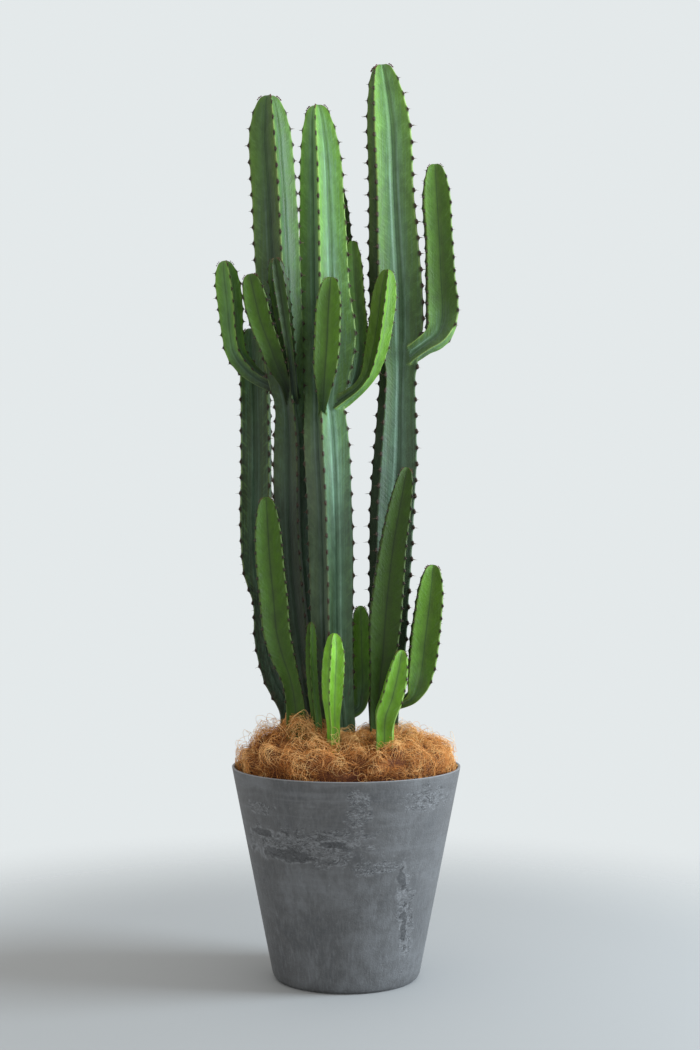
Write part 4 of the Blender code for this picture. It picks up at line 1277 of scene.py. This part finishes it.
def model_coir_core():
    """The packed fibre under the loose fibres, finished dark as painted shade between them: a sphere pressed
    into the mound's shape.
    """
    deselect()
    bpy.ops.mesh.primitive_uv_sphere_add(segments=CORE_SEGMENTS, ring_count=CORE_RINGS, radius=1.0)
    core = bpy.context.object
    points = mesh_points(core.data)
    out = np.hypot(points[:, 0], points[:, 1])
    turn = np.arctan2(out, np.abs(points[:, 2]))
    reach = (mound_edge() - CORE_INSET) * np.sin(turn) ** (2 / COIR_EDGE_POWER)
    x, y = (points[:, :2] / np.maximum(out, TINY)[:, None] * reach[:, None]).T
    top = coir_height(x, y) - CORE_DEPTH
    bulge = (tufts(np.stack((x, y, top), axis=1), TUFT_SIZE) - TUFT_SINK) * TUFT_DEPTH
    crumbs = tufts(np.stack((x, y, top), axis=1), CRUMB_SIZE) * CRUMB_DEPTH
    z = np.where(points[:, 2] > CLOSE, top + bulge + crumbs, SOIL_TOP + COIR_CLEARANCE)
    z = np.maximum(z, SOIL_TOP + COIR_CLEARANCE)
    core.data.vertices.foreach_set("co", np.stack((x, y, z), axis=1).astype(np.float32).ravel())
    core.data.shade_smooth()
    return core


def onto_mound(points):
    """Points moved onto the plain mound along lines from the middle of its base."""
    middle = np.array((0.0, 0.0, SOIL_TOP + COIR_EDGE))
    apart = points - middle
    across = np.hypot(apart[:, 0], apart[:, 1]) / mound_edge()
    rise = np.maximum(apart[:, 2], 0.0) / COIR_RISE
    size = (across**COIR_EDGE_POWER + rise**COIR_EDGE_POWER) ** (1 / COIR_EDGE_POWER)
    return middle + apart / size[:, None]


def mound_outward(points):
    """Directions that point straight out of the plain mound."""
    power = COIR_EDGE_POWER - 1
    out = np.hypot(points[:, 0], points[:, 1])
    slope_out = (out / mound_edge()) ** power / mound_edge()
    rise = np.maximum(points[:, 2] - SOIL_TOP - COIR_EDGE, 0.0) / COIR_RISE
    flat = points[:, :2] / np.maximum(out, TINY)[:, None] * slope_out[:, None]
    return unit(np.column_stack((flat, rise**power / COIR_RISE + TINY)))


def fibre_paths(count, length, depth, arch, curl, seed):
    """Curly fibres that wander over the mound: their points, outward directions and shades."""
    draw = np.random.default_rng(seed)
    turn = draw.uniform(0, 2 * math.pi, count)
    lean = np.arccos(draw.uniform(0.0, 1.0, count))
    start = np.column_stack((np.sin(lean) * np.cos(turn), np.sin(lean) * np.sin(turn), np.cos(lean)))
    here = onto_mound(np.array((0.0, 0.0, SOIL_TOP + COIR_EDGE)) + start * mound_edge())
    heading = draw.normal(size=(count, 3))
    lengths = length * draw.uniform(*FIBRE_LENGTHS, count)
    bend = curl * draw.uniform(*FIBRE_BENDS, count) * draw.choice((-1.0, 1.0), count)
    sway, phase = draw.uniform(*FIBRE_SWAYS, count), draw.uniform(0, 2 * math.pi, count)
    lows = draw.normal(depth, abs(depth) * DEPTH_SPREAD + LEAST_SPREAD, count)
    highs = arch * draw.random(count) ** 2
    places, outwards = [], []
    for step in range(FIBRE_STEPS + 1):
        share = step / FIBRE_STEPS
        normal = mound_outward(here)
        heading = unit(heading - (heading * normal).sum(axis=1, keepdims=True) * normal)
        lift = lows + highs * np.sin(math.pi * share)
        places.append(here + normal * lift[:, None])
        outwards.append(normal)
        angle = bend * lengths / FIBRE_STEPS * (STEADY_BEND + np.cos(sway * share * 2 + phase))
        heading = heading * np.cos(angle)[:, None] + np.cross(normal, heading) * np.sin(angle)[:, None]
        here = onto_mound(here + heading * (lengths / FIBRE_STEPS)[:, None])
    outwards = np.stack(outwards, axis=1)
    flat, bulge = laid_on_tufts(np.stack(places, axis=1).reshape(-1, 3), outwards, lows, arch)
    height = bulge.reshape(count, -1)[:, (FIBRE_STEPS + 1) // 2]
    # The fibres' own spread of colour, and painted shade: fibres in pockets between tufts and lower down are
    # darker
    shade = SHADE_MIDDLE + draw.normal(0.0, SHADE_SPREAD, count) + height * SHADE_BY_TUFT
    shade += (lows + highs / 2) * SHADE_BY_HEIGHT
    return flat.reshape(count, -1, 3), outwards, np.clip(shade, DARKEST_SHADE, 1.0)


def laid_on_tufts(flat, outwards, lows, arch):
    """Fibre points moved from the plain mound onto its lumps, tufts and heaps, and how far those bulge."""
    x, y = flat[:, 0], flat[:, 1]
    share = np.minimum(1.0, np.hypot(x, y) / mound_edge())
    raised = flat[:, 2] + lumps(x, y) * (1 - share**COIR_LUMP_POWER)
    lift = np.repeat(lows, FIBRE_STEPS + 1)
    lowered = np.minimum(raised, sink_at_stems(x, y, np.full_like(x, COIR_HIGH.z)) + lift + arch / 2)
    bulge = tufts(np.column_stack((x, y, lowered)), TUFT_SIZE)
    rise = (bulge - TUFT_SINK) * TUFT_DEPTH
    flat = np.column_stack((x, y, lowered)) + outwards.reshape(-1, 3) * rise[:, None]
    for centre_x, centre_y, reach, height in FIBRE_HEAPS:
        flat[:, 2] += height * np.exp(-((x - centre_x) ** 2 + (y - centre_y) ** 2) / reach**2)
    return clear_of_stems(within_wall(flat)), bulge


def within_wall(points):
    """Points kept inside the pot's wall and above the soil."""
    inner = RIM_RADIUS - WALL - FIBRE_CLEARANCE
    lower = wall_radius(np.minimum(points[:, 2], POT_HEIGHT)) - WALL - FIBRE_CLEARANCE
    limit = np.where(points[:, 2] < POT_HEIGHT, lower, inner)
    out = np.hypot(points[:, 0], points[:, 1])
    scale = np.minimum(1.0, limit / np.maximum(out, TINY))
    height = np.maximum(points[:, 2], SOIL_TOP + COIR_CLEARANCE)
    return np.column_stack((points[:, 0] * scale, points[:, 1] * scale, height))


def clear_of_stems(points):
    """Points moved out of the stems' feet."""
    for stem in STANDING:
        foot_x, foot_y, foot_top, radius = stem.route[0]
        apart = points[:, :2] - (foot_x, foot_y)
        away = np.linalg.norm(apart, axis=1)
        push = np.maximum(radius * FOOT_SHARE - away, 0.0) * (points[:, 2] < foot_top + FOOT_RISE)
        points[:, :2] += apart / np.maximum(away, TINY)[:, None] * push[:, None]
    return points


def fibre_tubes(paths, outwards, radius):
    """Thin tubes along paths of equal point counts, closed at both ends."""
    count, rings = paths.shape[:2]
    ahead = unit(np.gradient(paths, axis=1))
    across = unit(np.cross(ahead, outwards))
    lift = np.cross(across, ahead)
    taper = radius * (1 - FIBRE_TAPER * np.abs(np.linspace(-1, 1, rings)) ** 3)
    corner = np.arange(FIBRE_SIDES)
    sides = []
    for turn in 2 * math.pi * corner / FIBRE_SIDES:
        side = math.cos(turn) * lift + math.sin(turn) * across
        sides.append(paths + side * taper[None, :, None])
    vertices = np.stack(sides, axis=2).reshape(-1, 3)
    after = (corner + 1) % FIBRE_SIDES
    tube = np.arange(count)[:, None] * rings * FIBRE_SIDES
    ring = tube[:, :, None] + np.arange(rings - 1)[None, :, None] * FIBRE_SIDES
    above = ring + FIBRE_SIDES
    quads = np.stack((ring + corner, ring + after, above + after, above + corner), axis=-1)
    ends = np.concatenate((tube + corner[::-1], tube + (rings - 1) * FIBRE_SIDES + corner))
    return vertices, quads.reshape(-1, 4).tolist() + ends.tolist()


def model_pot(sides):
    """The pot, drawn up from a disc: foot line, bevelled corner, tapered wall, lip and inner wall."""
    deselect()
    foot = BASE_RADIUS - FOOT_INSET
    bpy.ops.mesh.primitive_circle_add(vertices=sides, radius=foot, fill_type="NGON")
    pot = bpy.context.object
    outside = [(foot, FOOT_STEP), (BASE_RADIUS - FOOT_INSET / 2, FOOT_STEP), (BASE_RADIUS, BASE_BEVEL)]
    for share in np.linspace(0, 1, WALL_RINGS + 1)[1:]:
        height = BASE_BEVEL + (POT_HEIGHT - BASE_BEVEL) * share
        outside.append((wall_radius(height), height))
    inside = [(RIM_RADIUS - WALL, POT_HEIGHT)]
    for share in np.linspace(1, 0, WALL_RINGS // 2 + 1)[1:]:
        height = FLOOR_THICKNESS + (POT_HEIGHT - FLOOR_THICKNESS) * share
        inside.append((wall_radius(height) - WALL, height))
    bpy.ops.object.mode_set(mode="EDIT")
    bpy.ops.mesh.select_all(action="SELECT")
    radius, height = foot, 0.0
    for next_radius, next_height in outside + inside:
        bpy.ops.mesh.extrude_region_move(TRANSFORM_OT_translate={"value": (0, 0, next_height - height)})
        share = next_radius / radius
        bpy.ops.transform.resize(value=(share, share, 1), center_override=(0, 0, next_height))
        radius, height = next_radius, next_height
    bpy.ops.mesh.select_all(action="SELECT")
    bpy.ops.mesh.remove_doubles(threshold=CLOSE)
    bpy.ops.mesh.normals_make_consistent(inside=False)
    bpy.ops.object.mode_set(mode="OBJECT")
    apply_modifier(pot, "BEVEL", width=LIP_ROUND, segments=LIP_SEGMENTS, limit_method="ANGLE",
                   angle_limit=BEVEL_ANGLE)
    bpy.ops.object.shade_smooth_by_angle(angle=SMOOTH_ANGLE)
    return pot


def tint(name, default):
    """A colour that a user can change."""
    return FloatVectorProperty(name=name, description=f"{name} of this finish", subtype="COLOR", size=3,
                               min=0.0, max=1.0, default=default)


def measure(name, description, default):
    """A length that a user can change."""
    return FloatProperty(name=name, description=description, default=default, min=0.0, unit="LENGTH",
                         precision=5)


class StemSettings(bpy.types.PropertyGroup):
    """Sizes and colours of the stems and their spines"""
    step: measure("Ring spacing", "Distance between the rings of points along a stem", 0.003)
    shield: measure("Shield length", "Length of the horny shield under each pair of spines", 0.0052)
    spine_radius: FloatProperty(name="Spine thickness", description="Radius of a spine's root, as a share of "
                                "its length", default=0.085, min=0.01, max=0.3)
    old: tint("Old skin", (0.054, 0.074, 0.045))
    grown: tint("Grown skin", (0.098, 0.222, 0.042))
    fresh: tint("Fresh skin", (0.132, 0.320, 0.018))
    bloom: tint("Waxy bloom", (0.115, 0.225, 0.150))


class CoirSettings(bpy.types.PropertyGroup):
    """Sizes and colours of the coir fibre"""
    fibres: IntProperty(name="Fibres", description="How many loose fibres lie on the mound", default=9000,
                        min=400, max=12000)
    length: measure("Fibre length", "Middle length of a fibre", 0.048)
    radius: measure("Fibre radius", "Radius of a fibre at its middle", 0.00025)
    curl: FloatProperty(name="Curl", description="Tightest bend of a fibre, in turns of one radian a metre",
                        default=250.0, min=0.0)
    dark: tint("Dark fibre", (0.110, 0.036, 0.018))
    middle: tint("Middle fibre", (0.740, 0.300, 0.075))
    pale: tint("Pale fibre", (1.000, 0.640, 0.270))


class PotSettings(bpy.types.PropertyGroup):
    """Shape and colours of the pot"""
    sides: IntProperty(name="Sides", description="Number of flat sides round the pot", default=160, min=32)
    stone: tint("Grey", (0.094, 0.096, 0.099))
    dark: tint("Dark patches", (0.068, 0.071, 0.076))
    pale: tint("Pale patches", (0.160, 0.168, 0.178))


class StageSettings(bpy.types.PropertyGroup):
    """Floor, background and light"""
    floor: tint("Floor", (0.40, 0.41, 0.415))
    backdrop: tint("Backdrop", (0.775, 0.815, 0.825))
    daylight: FloatProperty(name="Daylight", description="Strength of the light from all round", default=0.66)
    lamp: FloatProperty(name="Lamp", description="Power of the soft light from the right", default=146.0,
                        unit="POWER")


def finish_piece(piece, name, material, node):
    """Name a piece, give it its finish, and let it ride with the plant and stand for its CAD node."""
    piece.name = name
    piece.data.name = name
    piece.data.materials.clear()
    piece.data.materials.append(material)
    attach(piece, "root")
    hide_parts(node)


class EUPHORBIA_OT_columns(bpy.types.Operator):
    """Make the four old columns with their branches"""
    bl_idname = "euphorbia.make_columns"
    bl_label = "Columns"

    def execute(self, context):
        settings = context.scene.euphorbia_stems
        grow_stems(COLUMNS, skin_material("old_waxy_skin", settings), settings.step)
        return {"FINISHED"}


class EUPHORBIA_OT_shoots(bpy.types.Operator):
    """Make the young shoots that stand round the columns"""
    bl_idname = "euphorbia.make_shoots"
    bl_label = "Shoots"

    def execute(self, context):
        settings = context.scene.euphorbia_stems
        grow_stems(LONE_SHOOTS, skin_material("young_waxy_skin", settings), settings.step)
        return {"FINISHED"}


class EUPHORBIA_OT_spines(bpy.types.Operator):
    """Set a horny shield with a pair of spines on each tooth, and small buds round each crown"""
    bl_idname = "euphorbia.make_spines"
    bl_label = "Spines"

    def execute(self, context):
        settings = context.scene.euphorbia_stems
        model = model_areole(settings.spine_radius, settings.shield)
        horn = spine_material()
        for parts in COLUMNS + LONE_SHOOTS:
            node = parts[0][0].name
            points, rows, marks = zip(*(areoles(stem, flank, seed, model) for stem, flank, seed in parts))
            faces, total = [], 0
            for places, part in zip(points, rows):
                faces.extend(tuple(corner + total for corner in row) for row in part)
                total += len(places)
            out, bud = np.concatenate(marks, axis=1)
            spines = new_piece(node, np.concatenate(points), faces, {"out": out, "bud": bud})
            finish_piece(spines, f"{node}_spines", horn, node)
        return {"FINISHED"}


class EUPHORBIA_OT_coir(bpy.types.Operator):
    """Heap the coir fibre round the stems"""
    bl_idname = "euphorbia.make_coir"
    bl_label = "Coir fibre"

    def execute(self, context):
        settings = context.scene.euphorbia_coir
        # The packed core is finished dark: painted shade in the gaps between the loose fibres
        packed = coir_material("packed_coir_painted_shade", settings.dark, settings.dark, settings.middle, matted=0.75)
        finish_piece(model_coir_core(), "coir_core", packed, "coir_mulch")
        loose = coir_material("loose_coir", settings.dark, settings.middle, settings.pale)
        for number, (layer, share, depth, arch) in enumerate(FIBRE_LAYERS):
            count = int(settings.fibres * share)
            paths, outwards, shade = fibre_paths(count, settings.length, depth, arch, settings.curl, number)
            points, faces = fibre_tubes(paths, outwards, settings.radius)
            marks = {"shade": np.repeat(shade, (FIBRE_STEPS + 1) * FIBRE_SIDES)}
            fibres = new_piece(layer, points, faces, marks)
            finish_piece(fibres, layer, loose, "coir_mulch")
        return {"FINISHED"}


class EUPHORBIA_OT_pot(bpy.types.Operator):
    """Make the pot"""
    bl_idname = "euphorbia.make_pot"
    bl_label = "Pot"

    def execute(self, context):
        settings = context.scene.euphorbia_pot
        finish_piece(model_pot(settings.sides), "grey_pot", pot_material(settings), "pot")
        return {"FINISHED"}


class EUPHORBIA_OT_soil(bpy.types.Operator):
    """Give the potting soil its crumbly finish"""
    bl_idname = "euphorbia.finish_soil"
    bl_label = "Potting soil"

    def execute(self, context):
        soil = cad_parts["potting_soil"]
        soil.material_slots[0].material = soil_material()
        return {"FINISHED"}


def floor_material(colour):
    """A plain matt floor that fades out towards its edge."""
    floor = Finish("plain_floor", Roughness=0.75, Specular_IOR_Level=0.2)
    floor.shader.inputs["Base Color"].default_value = (*colour, 1.0)
    place = stretched(floor.place, (1.0, 1.0, 0.0))
    out = add_node(floor.tree, "ShaderNodeVectorMath", {0: place}, operation="LENGTH").outputs["Value"]
    solid = span(out, FLOOR_SOLID, FLOOR_RADIUS, 1.0, 0.0)
    floor.tree.links.new(solid, floor.shader.inputs["Alpha"])
    return floor.material


def make_floor(colour):
    """A round floor under the pot."""
    deselect()
    bpy.ops.mesh.primitive_circle_add(vertices=FLOOR_SIDES, radius=FLOOR_RADIUS, fill_type="NGON")
    floor = bpy.context.object
    floor.name = "floor"
    floor.data.materials.append(floor_material(colour))


def make_daylight(colour, strength):
    """Even light from all round, and a pale backdrop of its own colour behind the plant."""
    world = bpy.data.worlds.new("daylight")
    bpy.context.scene.world = world
    world.use_nodes = True
    tree = world.node_tree
    ambient = tree.nodes["Background"]
    ambient.inputs["Color"].default_value = DAYLIGHT_TINT
    way = add_node(tree, "ShaderNodeTexCoord").outputs["Generated"]
    towards = add_node(tree, "ShaderNodeVectorMath", {0: way, 1: DAYLIGHT_FROM}, operation="DOT_PRODUCT")
    sided = sums("MULTIPLY_ADD", towards.outputs["Value"], strength * DAYLIGHT_LEAN, strength)
    tree.links.new(sided, ambient.inputs["Strength"])
    seen = add_node(tree, "ShaderNodeBackground", {"Color": (*colour, 1.0)})
    rays = add_node(tree, "ShaderNodeLightPath")
    mixed = add_node(tree, "ShaderNodeMixShader", {0: rays.outputs["Is Camera Ray"], 1: ambient.outputs[0],
                                                   2: seen.outputs[0]})
    tree.links.new(mixed.outputs[0], tree.nodes["World Output"].inputs["Surface"])


def make_lamp(power):
    """A large soft light on the right."""
    lamp = bpy.data.lights.new("soft_lamp", "AREA")
    lamp.shape = "RECTANGLE"
    lamp.size, lamp.size_y = LAMP_SIZE
    lamp.energy = power
    lamp.color = LAMP_TINT
    stand = bpy.data.objects.new("soft_lamp", lamp)
    stand.location = LAMP_PLACE
    stand.rotation_euler = (Vector(LAMP_AIM) - stand.location).to_track_quat("-Z", "Y").to_euler()
    bpy.context.scene.collection.objects.link(stand)


def make_camera():
    """The camera at the photograph's viewing angle."""
    camera = bpy.data.objects.new("camera", bpy.data.cameras.new("camera"))
    camera.data.lens = LENS
    camera.data.sensor_width = SENSOR
    camera.location = CAMERA_PLACE
    camera.rotation_euler = (math.pi / 2 - CAMERA_DOWN, 0.0, 0.0)
    bpy.context.scene.collection.objects.link(camera)
    bpy.context.scene.camera = camera


class EUPHORBIA_OT_stage(bpy.types.Operator):
    """Set up the floor, the light and the camera"""
    bl_idname = "euphorbia.make_stage"
    bl_label = "Stage"

    def execute(self, context):
        settings = context.scene.euphorbia_stage
        make_floor(settings.floor)
        make_daylight(settings.backdrop, settings.daylight)
        make_lamp(settings.lamp)
        make_camera()
        context.scene.view_settings.view_transform = "Standard"
        return {"FINISHED"}


OPERATORS = (EUPHORBIA_OT_stage, EUPHORBIA_OT_pot, EUPHORBIA_OT_soil, EUPHORBIA_OT_coir, EUPHORBIA_OT_columns,
             EUPHORBIA_OT_shoots, EUPHORBIA_OT_spines)
SETTINGS = {"euphorbia_stage": StageSettings, "euphorbia_pot": PotSettings, "euphorbia_coir": CoirSettings,
            "euphorbia_stems": StemSettings}


class EUPHORBIA_PT_panel(bpy.types.Panel):
    """Lists the plant's settings and the steps that make it"""
    bl_idname = "EUPHORBIA_PT_panel"
    bl_label = "Potted euphorbia"
    bl_space_type = "VIEW_3D"
    bl_region_type = "UI"
    bl_category = "Euphorbia"

    def draw(self, context):
        for name, settings in SETTINGS.items():
            box = self.layout.box()
            for prop in settings.__annotations__:
                box.prop(getattr(context.scene, name), prop)
        for operator in OPERATORS:
            self.layout.operator(operator.bl_idname)


def register():
    for settings in SETTINGS.values():
        bpy.utils.register_class(settings)
    for name, settings in SETTINGS.items():
        setattr(bpy.types.Scene, name, PointerProperty(type=settings))
    for shown in (*OPERATORS, EUPHORBIA_PT_panel):
        bpy.utils.register_class(shown)


def unregister():
    for shown in (EUPHORBIA_PT_panel, *reversed(OPERATORS)):
        bpy.utils.unregister_class(shown)
    for name in SETTINGS:
        delattr(bpy.types.Scene, name)
    for settings in SETTINGS.values():
        bpy.utils.unregister_class(settings)


def main():
    register()
    bpy.ops.euphorbia.make_stage()
    bpy.ops.euphorbia.make_pot()
    bpy.ops.euphorbia.finish_soil()
    bpy.ops.euphorbia.make_coir()
    bpy.ops.euphorbia.make_columns()
    bpy.ops.euphorbia.make_shoots()
    bpy.ops.euphorbia.make_spines()


if __name__ == "__main__":
    main()
